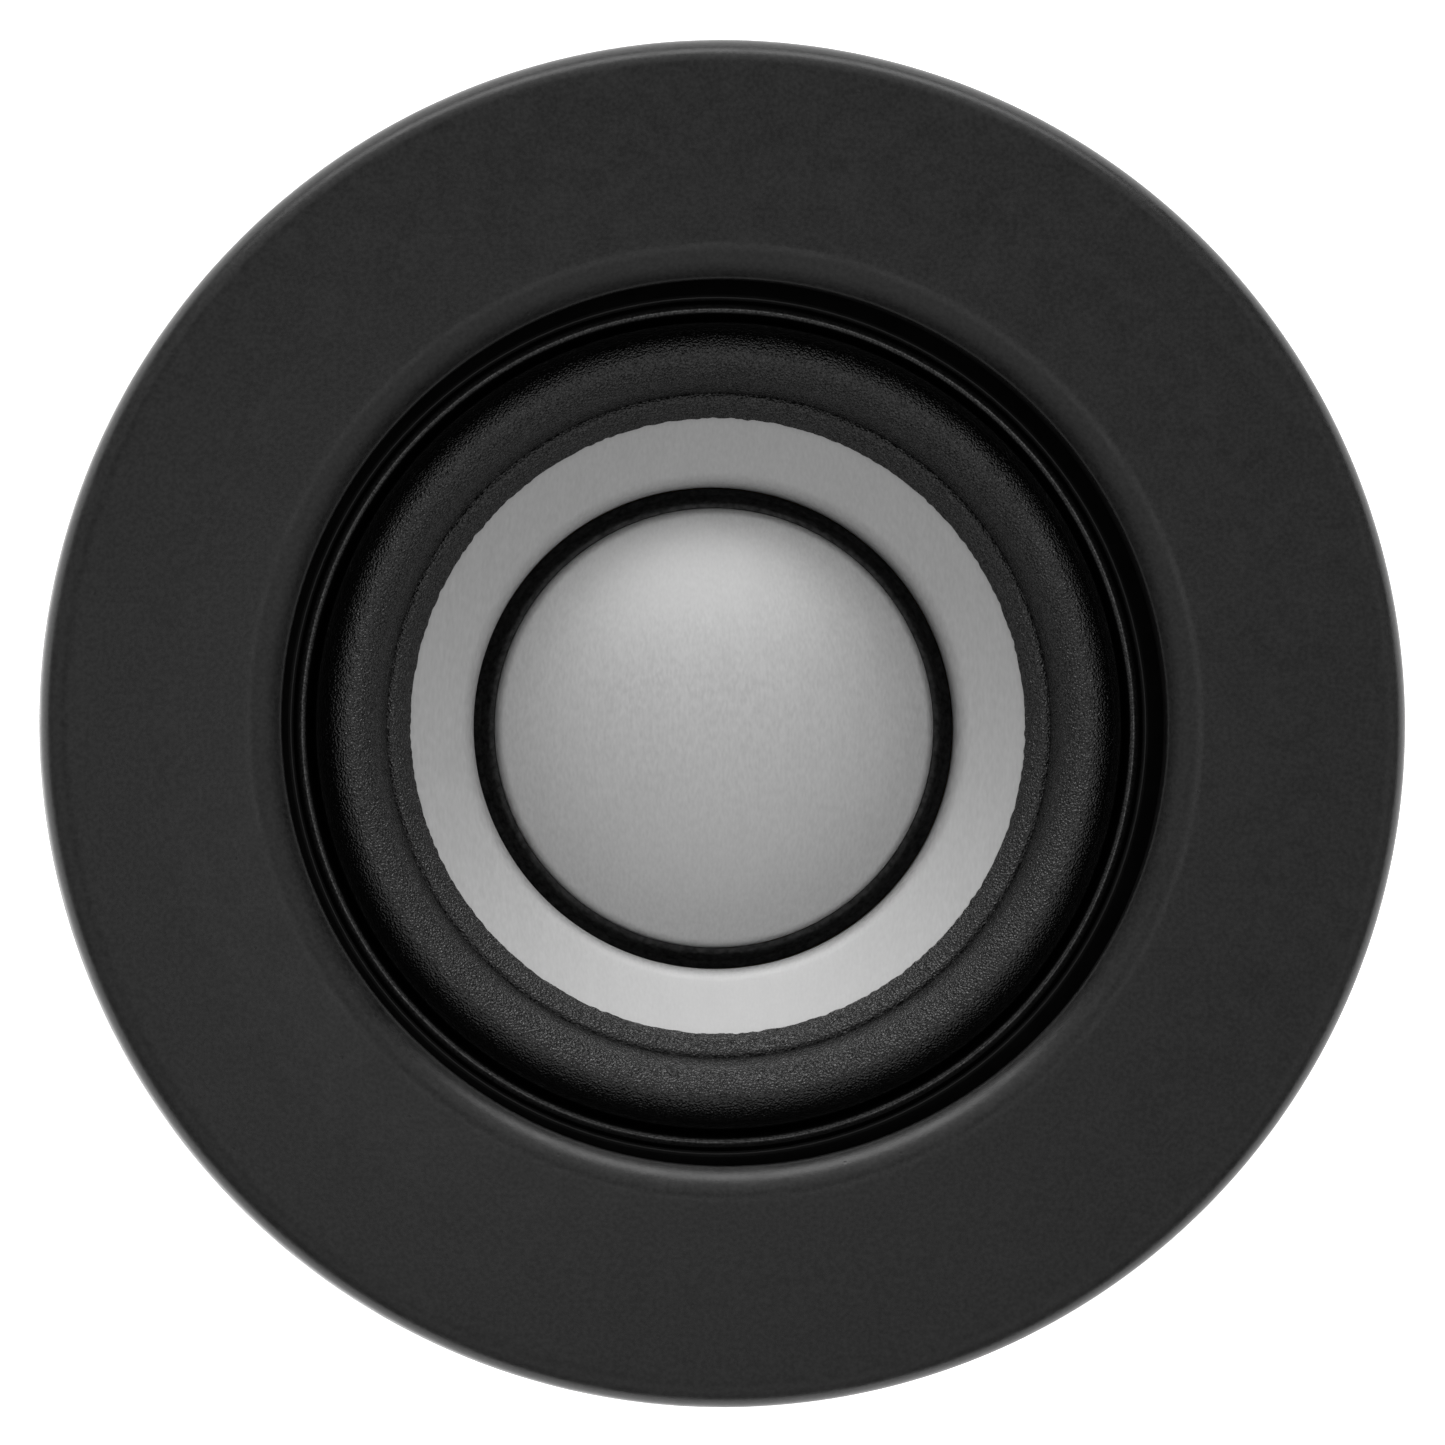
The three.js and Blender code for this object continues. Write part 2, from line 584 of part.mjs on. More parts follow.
// ---------------------------------------------------------------- magnet system
/** The steel cup that carries the flux round to the outside of the gap; the tweeter stands on it. */
function yokeCup() {
  const edge = 0.6;
  const outline = [
    [0, 0],
    [YOKE_R - edge, 0],
    [YOKE_R, edge],
    [YOKE_R, YOKE_TALL],
    [YOKE_IN_R, YOKE_TALL],
    [YOKE_IN_R, YOKE_FLOOR],
    [0, YOKE_FLOOR],
  ];
  return named('yoke_cup', turned(outline, FINE), LOOK.zincSteel);
}

function magnet() {
  const bottom = YOKE_FLOOR + GLUE;
  const top = bottom + MAGNET_TALL;
  const edge = 0.3;
  const outline = [
    [0, bottom], [MAGNET_R - edge, bottom], [MAGNET_R, bottom + edge],
    [MAGNET_R, top - edge], [MAGNET_R - edge, top], [0, top],
  ];
  return named('magnet', turned(outline, MEDIUM), LOOK.nickel);
}

const POLE_BOTTOM = YOKE_FLOOR + MAGNET_TALL + GLUE * 2;
const POLE_TOP = POLE_BOTTOM + POLE_TALL;

function polePlate() {
  return named('pole_plate', flatRing(0, POLE_R, POLE_BOTTOM, POLE_TOP, MEDIUM), LOOK.zincSteel);
}

/** A thin copper cap over the pole plate that evens out the coil's inductance. */
function shortingCap() {
  const inR = POLE_R + GLUE;
  const inTop = POLE_TOP + GLUE;
  const rimBack = POLE_BOTTOM + 0.1;
  const outline = [
    [0, inTop],
    [inR, inTop],
    [inR, rimBack],
    [inR + CAP_SHEET, rimBack],
    [inR + CAP_SHEET, inTop + CAP_SHEET],
    [0, inTop + CAP_SHEET],
  ];
  return named('shorting_cap', turned(outline, MEDIUM), LOOK.copper);
}

/** The felt disc that damps the air under the dome. */
function dampingFelt() {
  const back = POLE_TOP + CAP_SHEET + GLUE * 2;
  return named('damping_felt', flatRing(0, FELT_R, back, back + FELT_TALL, MEDIUM), LOOK.felt);
}

// ---------------------------------------------------------------- terminals and wiring
const boardOuter = -(BOARD.face + BOARD.thick);
const bladeInner = boardOuter - CLEAR;
const bladeOuter = bladeInner - BLADE_THICK;
const rivetPlaces = [
  [POSITIVE.y, BLADE_RIVET_Z],
  [NEGATIVE.y, BLADE_RIVET_Z],
  [LINK_TAG.y, LINK_RIVET_Z],
];

/** The fibre board that carries the connection tabs, screwed to the basket. */
function terminalBoard() {
  const plate = box([boardOuter, -BOARD.half, BOARD.bottom], [-BOARD.face, BOARD.half, BOARD.top]);
  const hole = (y, z, r) => alongX(y, z, r + LOOSE, boardOuter - 1, -BOARD.face + 1);
  const cut = [
    ...rivetPlaces.map(([y, z]) => hole(y, z, RIVET_R)),
    hole(BOARD_SCREW.y, BOARD_SCREW.z, BOARD_SCREW.r),
  ];
  return named('terminal_board', shaped(plate, { cut }), LOOK.fibre);
}

/** A flat tab on the board's outer face, with a rivet hole; a blade's free end has bevelled corners. */
function tab(name, { y, width }, bottom, top, rivetZ, bevel) {
  const half = width / 2;
  const shape = new THREE.Shape([
    new THREE.Vector2(-half + bevel, bottom),
    new THREE.Vector2(half - bevel, bottom),
    ...(bevel ? [new THREE.Vector2(half, bottom + bevel)] : []),
    new THREE.Vector2(half, top),
    new THREE.Vector2(-half, top),
    ...(bevel ? [new THREE.Vector2(-half, bottom + bevel)] : []),
  ]);
  shape.holes.push(new THREE.Path().absarc(0, rivetZ, RIVET_R + LOOSE, 0, 2 * Math.PI, true));
  const geometry = new THREE.ExtrudeGeometry(shape, {
    depth: BLADE_THICK, bevelEnabled: false, curveSegments: 8,
  });
  // The sketch's X runs along the world's Y, its Y along Z, and its depth along X.
  geometry.applyMatrix4(new THREE.Matrix4().makeBasis(
    new THREE.Vector3(0, 1, 0), new THREE.Vector3(0, 0, 1), new THREE.Vector3(1, 0, 0),
  ));
  const mesh = named(name, geometry, LOOK.tinned);
  mesh.position.set(bladeOuter, y, 0);
  return mesh;
}

/** A rivet through the board and one tab. */
function terminalRivet(number) {
  const [y, z] = rivetPlaces[number - 1];
  const outerFace = bladeOuter - CLEAR;
  const innerFace = -BOARD.face + CLEAR;
  const shank = alongX(y, z, RIVET_R, outerFace - 0.1, innerFace + 0.1);
  const heads = [
    alongX(y, z, RIVET_HEAD_R, outerFace - RIVET_HEAD_TALL, outerFace),
    alongX(y, z, RIVET_HEAD_R, innerFace, innerFace + RIVET_HEAD_TALL),
  ];
  return named(`terminal_rivet_${number}`, shaped(shank, { add: heads }), LOOK.brass);
}

/** The screw that holds the terminal board on the basket's pad. */
function boardScrew() {
  const { y, z, r, headR, headTall, end, slot: width } = BOARD_SCREW;
  const headInner = boardOuter - CLEAR;
  const headOuter = headInner - headTall;
  const shank = alongX(y, z, r, headInner - 0.1, -end);
  const head = alongX(y, z, headR, headOuter, headInner);
  const half = width / 2;
  const slot = box([headOuter - 1, y - half, z - headR], [headOuter + width, y + half, z + headR]);
  return named('board_screw', shaped(shank, { add: [head], cut: [slot] }), LOOK.blackSteel);
}

/** A braided lead from the coil former, through a window and over the board to a tab; side is +1 or -1. */
function tinselLead(name, side) {
  const geometry = wire([
    [-9.75, side * 2.75, 15.6],
    [-12.3, side * 3.9, 15.5],
    [-15.2, side * 5.1, 16.5],
    [-17.9, side * 5.6, 17.65],
    [-19.7, side * 4.8, 17.85],
    [-20.6, side * 4, 17.5],
    [-20.65, side * LINK_TAG.y, LINK_TAG.top + CLEAR],
  ], TINSEL_R, 16);
  return named(name, geometry, LOOK.braid);
}

/** The series capacitor that keeps low notes out, lying beside the magnet cup. */
function highpassCapacitor() {
  const { r, long, y, z } = CAPACITOR;
  const half = long / 2;
  const outline = [
    [0, -half], [r - 0.5, -half], [r - 0.1, -half + 0.3],
    [r, -half + 0.8], [r - CAPACITOR_GROOVE, -half + 1.3], [r, -half + 1.8],
    [r, half - 0.3], [r - 0.3, half], [0, half],
  ];
  const mesh = named('highpass_capacitor', turned(outline, 24).rotateY(Math.PI / 2), LOOK.sleeve);
  mesh.position.set(0, y, z);
  return mesh;
}

/** The bead of adhesive that holds the capacitor under the basket. */
function capacitorAdhesive() {
  const { y, z, r } = CAPACITOR;
  const { half, fromY, toY, lift, tall } = ADHESIVE;
  const back = z + r + lift;
  const geometry = box([-half, y - fromY, back], [half, y + toY, back + tall]);
  return named('capacitor_adhesive', geometry, LOOK.rubber);
}

/** A capacitor lead round the inside of the barrel to the edge of a tab; side is -1 for the lower lead. */
function capacitorLead(name, side, tabZ) {
  const { y, z, long, leadStep } = CAPACITOR;
  const startZ = z + (side * leadStep) / 2;
  const rise = tabZ - startZ;
  const tabEdge = POSITIVE.y + POSITIVE.width / 2 + CLEAR;
  const geometry = wire([
    [-long / 2 - CLEAR, y, startZ],
    [-8, y - 0.1, startZ],
    [-12, y - 2.1, startZ + 0.1 * rise],
    [-15.8, y - 5.3, startZ + 0.4 * rise],
    [-18.9, y - 8.8, startZ + 0.8 * rise],
    [-20.4, tabEdge + 1.6, tabZ],
    [(bladeInner + bladeOuter) / 2, tabEdge, tabZ],
  ], LEAD_R, 18);
  return named(name, geometry, LOOK.tinned);
}

// ---------------------------------------------------------------- assembly
const tweeter = new THREE.Group();

const panelClamp = new THREE.Group();
panelClamp.add(frontFlange(), panelGasket(), clampWasher(), lockRing());

const frame = new THREE.Group();
frame.add(basket(), ...[1, 2, 3].map(basketScrew));

const movingSystem = new THREE.Group();
movingSystem.add(surround(), cone(), dome(), domeBondingRing(), spider());
movingSystem.add(voiceCoilFormer(), voiceCoilWinding());

const motor = new THREE.Group();
motor.add(yokeCup(), magnet(), polePlate(), shortingCap(), dampingFelt());

const wiring = new THREE.Group();
wiring.add(
  terminalBoard(),
  boardScrew(),
  tab('terminal_blade_positive', POSITIVE, BLADE_TIP, POSITIVE.top, BLADE_RIVET_Z, BLADE_BEVEL),
  tab('terminal_blade_negative', NEGATIVE, BLADE_TIP, NEGATIVE.top, BLADE_RIVET_Z, BLADE_BEVEL),
  tab('link_tag', LINK_TAG, LINK_TAG.bottom, LINK_TAG.top, LINK_RIVET_Z, 0),
  ...[1, 2, 3].map(terminalRivet),
  tinselLead('tinsel_lead_positive', 1),
  tinselLead('tinsel_lead_negative', -1),
  highpassCapacitor(),
  capacitorAdhesive(),
  capacitorLead('capacitor_lead_in', -1, LEAD_IN_Z),
  capacitorLead('capacitor_lead_out', 1, LEAD_OUT_Z),
);

tweeter.add(panelClamp, frame, movingSystem, motor, wiring);

export default tweeter;
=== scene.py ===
"""The looks of the flush-mount car tweeter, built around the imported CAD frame.

Outlines are in millimetres, as (radius, height) or (radius, height, corner rounding) points, and meshes in
metres. Heights and radii start from the CAD nodes' boxes, so that every piece lies where its node lies.
"""

import math

import bmesh
import bpy
import numpy as np
from mathutils import Matrix, Vector


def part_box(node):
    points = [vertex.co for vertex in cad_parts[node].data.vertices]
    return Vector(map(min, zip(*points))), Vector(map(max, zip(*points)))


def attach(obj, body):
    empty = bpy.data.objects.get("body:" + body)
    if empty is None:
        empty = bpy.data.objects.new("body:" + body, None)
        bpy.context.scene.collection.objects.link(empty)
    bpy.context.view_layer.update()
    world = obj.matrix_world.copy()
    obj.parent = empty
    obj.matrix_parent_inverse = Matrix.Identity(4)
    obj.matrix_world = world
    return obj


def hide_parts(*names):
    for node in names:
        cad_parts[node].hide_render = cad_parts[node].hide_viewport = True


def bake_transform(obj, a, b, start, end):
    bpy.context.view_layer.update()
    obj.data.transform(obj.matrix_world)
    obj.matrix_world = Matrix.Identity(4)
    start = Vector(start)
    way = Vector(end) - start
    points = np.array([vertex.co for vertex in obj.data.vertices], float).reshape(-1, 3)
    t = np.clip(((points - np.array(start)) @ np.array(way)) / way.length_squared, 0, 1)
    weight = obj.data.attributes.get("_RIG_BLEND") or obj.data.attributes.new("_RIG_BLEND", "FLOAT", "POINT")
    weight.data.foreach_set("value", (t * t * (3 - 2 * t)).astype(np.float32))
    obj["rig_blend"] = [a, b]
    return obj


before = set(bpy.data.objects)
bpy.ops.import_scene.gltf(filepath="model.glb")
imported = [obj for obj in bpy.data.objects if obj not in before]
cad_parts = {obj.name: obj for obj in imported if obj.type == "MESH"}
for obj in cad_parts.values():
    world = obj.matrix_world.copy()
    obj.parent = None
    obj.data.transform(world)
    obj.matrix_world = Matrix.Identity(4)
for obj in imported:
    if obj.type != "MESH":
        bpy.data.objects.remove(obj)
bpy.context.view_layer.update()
MM = 0.001


def low(node):
    """A CAD node's lowest corner, in millimetres."""
    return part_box(node)[0] / MM


def high(node):
    """A CAD node's highest corner, in millimetres."""
    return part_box(node)[1] / MM


# ---------------------------------------------------------------- sizes, in millimetres
FLANGE_R = high("front_flange").x
FLANGE_TOP = high("front_flange").z
FLANGE_BACK = high("panel_gasket").z + 0.3
BARREL_END = low("front_flange").z
BORE_R = 19.05
LIP_ROUND = 2.0
RIM_ROUND = 1.1
CROWN_FALL = 0.35
SEAT = 20.9
BARREL_IN_R = high("basket").x + 0.3
THREAD_ROOT_R = 23.9
THREAD_CREST_R = 24.7
THREAD_BOTTOM = FLANGE_TOP - 16.5
THREAD_TOP = FLANGE_TOP - 5.4
PITCH = 3.0
FLAT_X = 23.6
RING_R = high("lock_ring").x
RING_BACK = low("lock_ring").z
RING_FRONT = high("lock_ring").z
SCALLOPS = 16
CONE_SLOPE = math.radians(24)
CONE_SEEN_R = 13.58
CONE_SEEN_Z = 20.1
CONE_OUT_R = 14.5
CONE_NECK_R = 10.65
CONE_END = low("cone").z
DOME_R = high("dome").x
DOME_TOP = high("dome").z
DOME_END = low("dome").z
DOME_EDGE_Z = 17.85
DOME_SWELL = 0.09
SHEET = 0.2
SURROUND_OUT_R = high("surround").x
SURROUND_TOP = high("surround").z
SURROUND_LIP_Z = 20.65

# The camera: degrees off the axis, degrees round it, the point aimed at and the view's width in flanges.
CAMERA_OFF_AXIS = 4.5
CAMERA_SIDE = 207
AIM_X = -0.09
AIM_Y = 0.0
VIEW_SHARE = 1.0557


# ---------------------------------------------------------------- mesh helpers
def placed(name, data):
    """A new object in the scene for a mesh, a light or a camera."""
    obj = bpy.data.objects.new(name, data)
    bpy.context.scene.collection.objects.link(obj)
    return obj


def make_object(name, vertices, faces, smooth_angle=35):
    """A mesh object from arrays in metres, shaded smooth except over sharp edges."""
    mesh = bpy.data.meshes.new(name)
    mesh.from_pydata(np.asarray(vertices).tolist(), [], np.asarray(faces).tolist())
    mesh.validate()
    obj = placed(name, mesh)
    tidy(obj, smooth_angle)
    return obj


def tidy(obj, smooth_angle=35):
    """Merges coincident points, points the faces outward and shades smooth up to an angle."""
    bm = bmesh.new()
    bm.from_mesh(obj.data)
    bmesh.ops.remove_doubles(bm, verts=bm.verts, dist=1e-8)
    bmesh.ops.dissolve_degenerate(bm, edges=bm.edges, dist=1e-9)
    bmesh.ops.recalc_face_normals(bm, faces=bm.faces)
    bm.to_mesh(obj.data)
    bm.free()
    obj.data.shade_smooth()
    obj.data.set_sharp_from_angle(angle=math.radians(smooth_angle))


def rounded(corners, steps=5, closed=True):
    """Points of an outline whose corners (radius, height, rounding) are rounded off."""
    points = []
    count = len(corners)
    for i, corner in enumerate(corners):
        here = np.array(corner[:2], float)
        round_off = corner[2] if len(corner) > 2 else 0
        at_end = not closed and i in (0, count - 1)
        if round_off <= 0 or at_end:
            points.append(here)
            continue
        before = np.array(corners[i - 1][:2], float) - here
        after = np.array(corners[(i + 1) % count][:2], float) - here
        len_before, len_after = np.linalg.norm(before), np.linalg.norm(after)
        before, after = before / len_before, after / len_after
        half = math.acos(np.clip(before @ after, -1, 1)) / 2
        if half > math.radians(89.9):
            points.append(here)
            continue
        reach = min(round_off / math.tan(half), 0.49 * len_before, 0.49 * len_after)
        radius = reach * math.tan(half)
        middle = here + (before + after) / np.linalg.norm(before + after) * radius / math.sin(half)
        start, end = here + before * reach - middle, here + after * reach - middle
        a0, a1 = math.atan2(start[1], start[0]), math.atan2(end[1], end[0])
        turn = (a1 - a0 + math.pi) % (2 * math.pi) - math.pi
        for k in range(steps + 1):
            a = a0 + turn * k / steps
            points.append(middle + radius * np.array([math.cos(a), math.sin(a)]))
    return np.array(points)


def subdivided(points, longest, closed=True):
    """The outline again, with extra points so that no stretch is longer than given."""
    points = np.asarray(points, float)
    result = []
    count = len(points)
    for i in range(count if closed else count - 1):
        a, b = points[i], points[(i + 1) % count]
        pieces = max(1, math.ceil(np.linalg.norm(b - a) / longest))
        result += [a + (b - a) * k / pieces for k in range(pieces)]
    if not closed:
        result.append(points[-1])
    return np.array(result)


def sheet_outline(middle, thick):
    """The closed outline of a sheet of even thickness along an open line of points."""
    middle = np.asarray(middle, float)
    along = np.gradient(middle, axis=0)
    along /= np.linalg.norm(along, axis=1)[:, None]
    normal = np.stack([-along[:, 1], along[:, 0]], axis=1)
    thick = np.broadcast_to(thick, len(middle))[:, None]
    return np.concatenate([middle + normal * thick / 2, (middle - normal * thick / 2)[::-1]])


def turned(name, outline, steps=256, shape=None, smooth_angle=35):
    """A solid of revolution about Z. shape(radius, height, angle) may move its points."""
    outline = np.asarray(outline, float)
    angle = np.arange(steps) * 2 * math.pi / steps
    radius = np.repeat(outline[:, 0:1], steps, axis=1)
    height = np.repeat(outline[:, 1:2], steps, axis=1)
    around = np.repeat(angle[None, :], len(outline), axis=0)
    if shape:
        radius, height = shape(radius, height, around)
    points = np.stack([radius * np.cos(around), radius * np.sin(around), height], axis=-1) * MM
    index = np.arange(len(outline) * steps).reshape(len(outline), steps)
    nxt = np.roll(index, -1, axis=1)
    up, up_nxt = np.roll(index, -1, axis=0), np.roll(nxt, -1, axis=0)
    faces = np.stack([index, nxt, up_nxt, up], axis=-1).reshape(-1, 4)
    return make_object(name, points.reshape(-1, 3), faces, smooth_angle)


def tube(name, path, radius, sides=16, steps=120, section=None):
    """A closed round tube along a smooth line through the path's points, in millimetres."""
    line = smooth_line(path, steps)
    along = np.gradient(line, axis=0)
    along /= np.linalg.norm(along, axis=1)[:, None]
    side = np.cross(along[0], [0.0, 0.0, 1.0])
    side /= np.linalg.norm(side)
    rings = []
    for i, (at, forward) in enumerate(zip(line, along)):
        side = side - forward * (side @ forward)
        side /= np.linalg.norm(side)
        other = np.cross(forward, side)
        around = np.arange(sides) * 2 * math.pi / sides
        swell = section(around, i / (len(line) - 1)) if section else 1.0
        ring = np.outer(np.cos(around) * swell, side) + np.outer(np.sin(around) * swell, other)
        rings.append(at + radius * ring)
    rings = np.array(rings)
    caps = np.array([line[0] - along[0] * radius * 0.3, line[-1] + along[-1] * radius * 0.3])
    points = np.concatenate([rings.reshape(-1, 3), caps]) * MM
    faces = []
    for i in range(len(line) - 1):
        for j in range(sides):
            k = (j + 1) % sides
            faces.append([i * sides + j, i * sides + k, (i + 1) * sides + k, (i + 1) * sides + j])
    first, last = len(line) * sides, len(line) * sides + 1
    top = (len(line) - 1) * sides
    for j in range(sides):
        k = (j + 1) % sides
        faces.append([first, k, j])
        faces.append([last, top + j, top + k])
    mesh = bpy.data.meshes.new(name)
    mesh.from_pydata(points.tolist(), [], faces)
    obj = placed(name, mesh)
    tidy(obj, 60)
    return obj


def smooth_line(path, steps):
    """Centripetal Catmull-Rom points through a path."""
    path = np.array(path, float)
    ends = np.array([2 * path[0] - path[1], 2 * path[-1] - path[-2]])
    p = np.concatenate([ends[:1], path, ends[1:]])
    knots = np.concatenate([[0], np.cumsum(np.sqrt(np.linalg.norm(np.diff(p, axis=0), axis=1)))])
    result = []
    for t in np.linspace(knots[1], knots[-2], steps):
        i = int(np.clip(np.searchsorted(knots, t, side="right") - 1, 1, len(p) - 3))
        k0, k1, k2, k3 = knots[i - 1:i + 3]
        a1 = ((k1 - t) * p[i - 1] + (t - k0) * p[i]) / (k1 - k0)
        a2 = ((k2 - t) * p[i] + (t - k1) * p[i + 1]) / (k2 - k1)
        a3 = ((k3 - t) * p[i + 1] + (t - k2) * p[i + 2]) / (k3 - k2)
        b1 = ((k2 - t) * a1 + (t - k0) * a2) / (k2 - k0)
        b2 = ((k3 - t) * a2 + (t - k1) * a3) / (k3 - k1)
        result.append(((k2 - t) * b1 + (t - k1) * b2) / (k2 - k1))
    return np.array(result)


def bevelled_copy(node, name, width):
    """A CAD node's shape with its flat faces made whole and its edges rounded, for small flat pieces."""
    obj = bpy.data.objects.new(name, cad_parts[node].data.copy())
    obj.data.materials.clear()
    bpy.context.scene.collection.objects.link(obj)
    bm = bmesh.new()
    bm.from_mesh(obj.data)
    bmesh.ops.remove_doubles(bm, verts=bm.verts, dist=1e-7)
    flat = [e for e in bm.edges if len(e.link_faces) == 2 and e.calc_face_angle(0) < math.radians(1)]
    bmesh.ops.dissolve_edges(bm, edges=flat, use_verts=True)
    bm.to_mesh(obj.data)
    bm.free()
    bevel = obj.modifiers.new("edges", "BEVEL")
    bevel.width = width * MM
    bevel.segments = 3
    bevel.limit_method = "ANGLE"
    bevel.angle_limit = math.radians(40)
    apply_modifiers(obj)
    tidy(obj)
    return obj


def apply_modifiers(obj):
    """Puts what the modifiers make into the mesh itself."""
    result = bpy.data.meshes.new_from_object(obj.evaluated_get(bpy.context.evaluated_depsgraph_get()))
    obj.modifiers.clear()
    obj.data = result


def cut_away(obj, cutters, operation="DIFFERENCE"):
    """Booleans the cutters out of a mesh, or into it, and removes them."""
    for cutter in cutters:
        boolean = obj.modifiers.new("cut", "BOOLEAN")
        boolean.object = cutter
        boolean.operation = operation
        boolean.solver = "EXACT"
        bpy.context.view_layer.update()
        apply_modifiers(obj)
        bpy.data.objects.remove(cutter)


def block(name, lowest, highest, spin=0.0):
    """A box between two corners in millimetres, turned about Z; used as a cutter."""
    bm = bmesh.new()
    bmesh.ops.create_cube(bm, size=1)
    size = Vector(highest) - Vector(lowest)
    middle = (Vector(highest) + Vector(lowest)) / 2
    bmesh.ops.scale(bm, vec=size * MM, verts=bm.verts)
    bmesh.ops.translate(bm, vec=middle * MM, verts=bm.verts)
    bmesh.ops.rotate(bm, cent=(0, 0, 0), matrix=Matrix.Rotation(spin, 3, "Z"), verts=bm.verts)
    mesh = bpy.data.meshes.new(name)
    bm.to_mesh(mesh)
    bm.free()
    obj = placed(name, mesh)
    return obj


def dress(obj, body, material, replaced=()):
    """Gives a finished piece its body and its material, and hides the nodes that it stands for."""
    obj.data.materials.clear()
    obj.data.materials.append(material)
    if "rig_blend" not in obj:
        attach(obj, body)
    if replaced:
        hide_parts(*replaced)
    return obj


def blend_radially(obj, inner_r, outer_r):
    """The piece follows the diaphragm inside inner_r and the housing outside outer_r, in millimetres."""
    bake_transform(obj, "diaphragm", "housing", start=(0, 0, 0), end=(outer_r * MM, 0, 0))
    places = np.array([v.co for v in obj.data.vertices])
    radius = np.hypot(places[:, 0], places[:, 1]) / MM
    t = np.clip((radius - inner_r) / (outer_r - inner_r), 0, 1)
    weight = t * t * (3 - 2 * t)
    obj.data.attributes["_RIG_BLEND"].data.foreach_set("value", weight.astype(np.float32))


# ---------------------------------------------------------------- materials
def put(tree, value, socket):
    """Sets a socket from a number or from another node's output."""
    if isinstance(value, (int, float)):
        socket.default_value = value
    else:
        tree.links.new(value, socket)


def math_node(tree, operation, a, b):
    node = tree.nodes.new("ShaderNodeMath")
    node.operation = operation
    for socket, value in zip(node.inputs, (a, b)):
        put(tree, value, socket)
    return node.outputs["Value"]


class Nodes:
    """Short calls for building one material's node tree."""

    def __init__(self, name, **shader):
        self.material = bpy.data.materials.new(name)
        self.material.use_nodes = True
        self.tree = self.material.node_tree
        self.shader = self.tree.nodes["Principled BSDF"]
        for socket, value in shader.items():
            self.shader.inputs[socket.replace("_", " ")].default_value = value
        self.place = self.add("ShaderNodeTexCoord").outputs["Object"]

    def add(self, kind, **settings):
        node = self.tree.nodes.new(kind)
        for key, value in settings.items():
            setattr(node, key, value)
        return node

    def join(self, source, target):
        self.tree.links.new(source, target)

    def stretched(self, scale):
        """The place, scaled along X, Y and Z."""
        node = self.add("ShaderNodeMapping")
        node.inputs["Scale"].default_value = scale
        self.join(self.place, node.inputs["Vector"])
        return node.outputs["Vector"]

    def noise(self, scale, detail=2.0, rough=0.5, where=None):
        node = self.add("ShaderNodeTexNoise")
        node.inputs["Scale"].default_value = scale
        node.inputs["Detail"].default_value = detail
        node.inputs["Roughness"].default_value = rough
        self.join(where or self.place, node.inputs["Vector"])
        return node.outputs["Fac"]

    def cells(self, scale, feature="F1", where=None, output="Distance"):
        node = self.add("ShaderNodeTexVoronoi", feature=feature)
        node.inputs["Scale"].default_value = scale
        self.join(where or self.place, node.inputs["Vector"])
        return node.outputs[output]

    def range(self, value, from_low, from_high, to_low, to_high):
        node = self.add("ShaderNodeMapRange")
        sockets = ("From Min", "From Max", "To Min", "To Max")
        for socket, number in zip(sockets, (from_low, from_high, to_low, to_high)):
            node.inputs[socket].default_value = number
        self.join(value, node.inputs["Value"])
        return node.outputs["Result"]

    def math(self, operation, a, b):
        return math_node(self.tree, operation, a, b)

    def radius_and_height(self):
        """The distance from the Z axis, and Z."""
        split = self.add("ShaderNodeSeparateXYZ")
        self.join(self.place, split.inputs["Vector"])
        x_squared, y_squared = (self.math("POWER", split.outputs[axis], 2) for axis in "XY")
        return self.math("SQRT", self.math("ADD", x_squared, y_squared), 0), split.outputs["Z"]

    def mix(self, factor, colour_a, colour_b):
        node = self.add("ShaderNodeMix", data_type="RGBA")
        self.join(factor, node.inputs["Factor"])
        for socket, colour in zip((s for s in node.inputs if s.type == "RGBA"), (colour_a, colour_b)):
            socket.default_value = (*colour, 1)
        return next(s for s in node.outputs if s.type == "RGBA")

    def colour(self, source):
        self.join(source, self.shader.inputs["Base Color"])

    def roughness(self, source):
        self.join(source, self.shader.inputs["Roughness"])

    def bump(self, source, depth, strength=1.0):
        """Relief of the given depth in millimetres."""
        node = self.add("ShaderNodeBump")
        node.inputs["Distance"].default_value = depth * MM
        put(self.tree, strength, node.inputs["Strength"])
        self.join(source, node.inputs["Height"])
        if self.shader.inputs["Normal"].is_linked:
            self.join(self.shader.inputs["Normal"].links[0].from_socket, node.inputs["Normal"])
        self.join(node.outputs["Normal"], self.shader.inputs["Normal"])


def per_mm(size):
    """The noise scale that gives features of this size in millimetres."""
    return 1 / (size * MM)


def grey(value):
    return (value, value, value)


def moulded_plastic(name, dark, light, rough):
    """Smooth black moulding, with a fine moulded grain, a faint mottle and tiny pits."""
    n = Nodes(name, IOR=1.5)
    grain = n.range(n.noise(per_mm(0.19), 1), 0.3, 0.7, 0.0, 1.0)
    mottle = n.range(n.noise(per_mm(2.4), 4, 0.6), 0.3, 0.7, 0.0, 1.0)
    tone = n.math("ADD", n.math("MULTIPLY", grain, 0.8), n.math("MULTIPLY", mottle, 0.2))
    pits = n.range(n.cells(per_mm(1.6)), 0.0, 0.06, 0.0, 1.0)
    n.colour(n.mix(n.math("MULTIPLY", tone, pits), grey(dark), grey(light)))
    n.roughness(n.range(n.noise(per_mm(1.2), 3), 0.3, 0.7, rough - 0.04, rough + 0.04))
    n.bump(pits, 0.01, 1.0)
    n.bump(grain, 0.0015, 1.0)
    return n.material


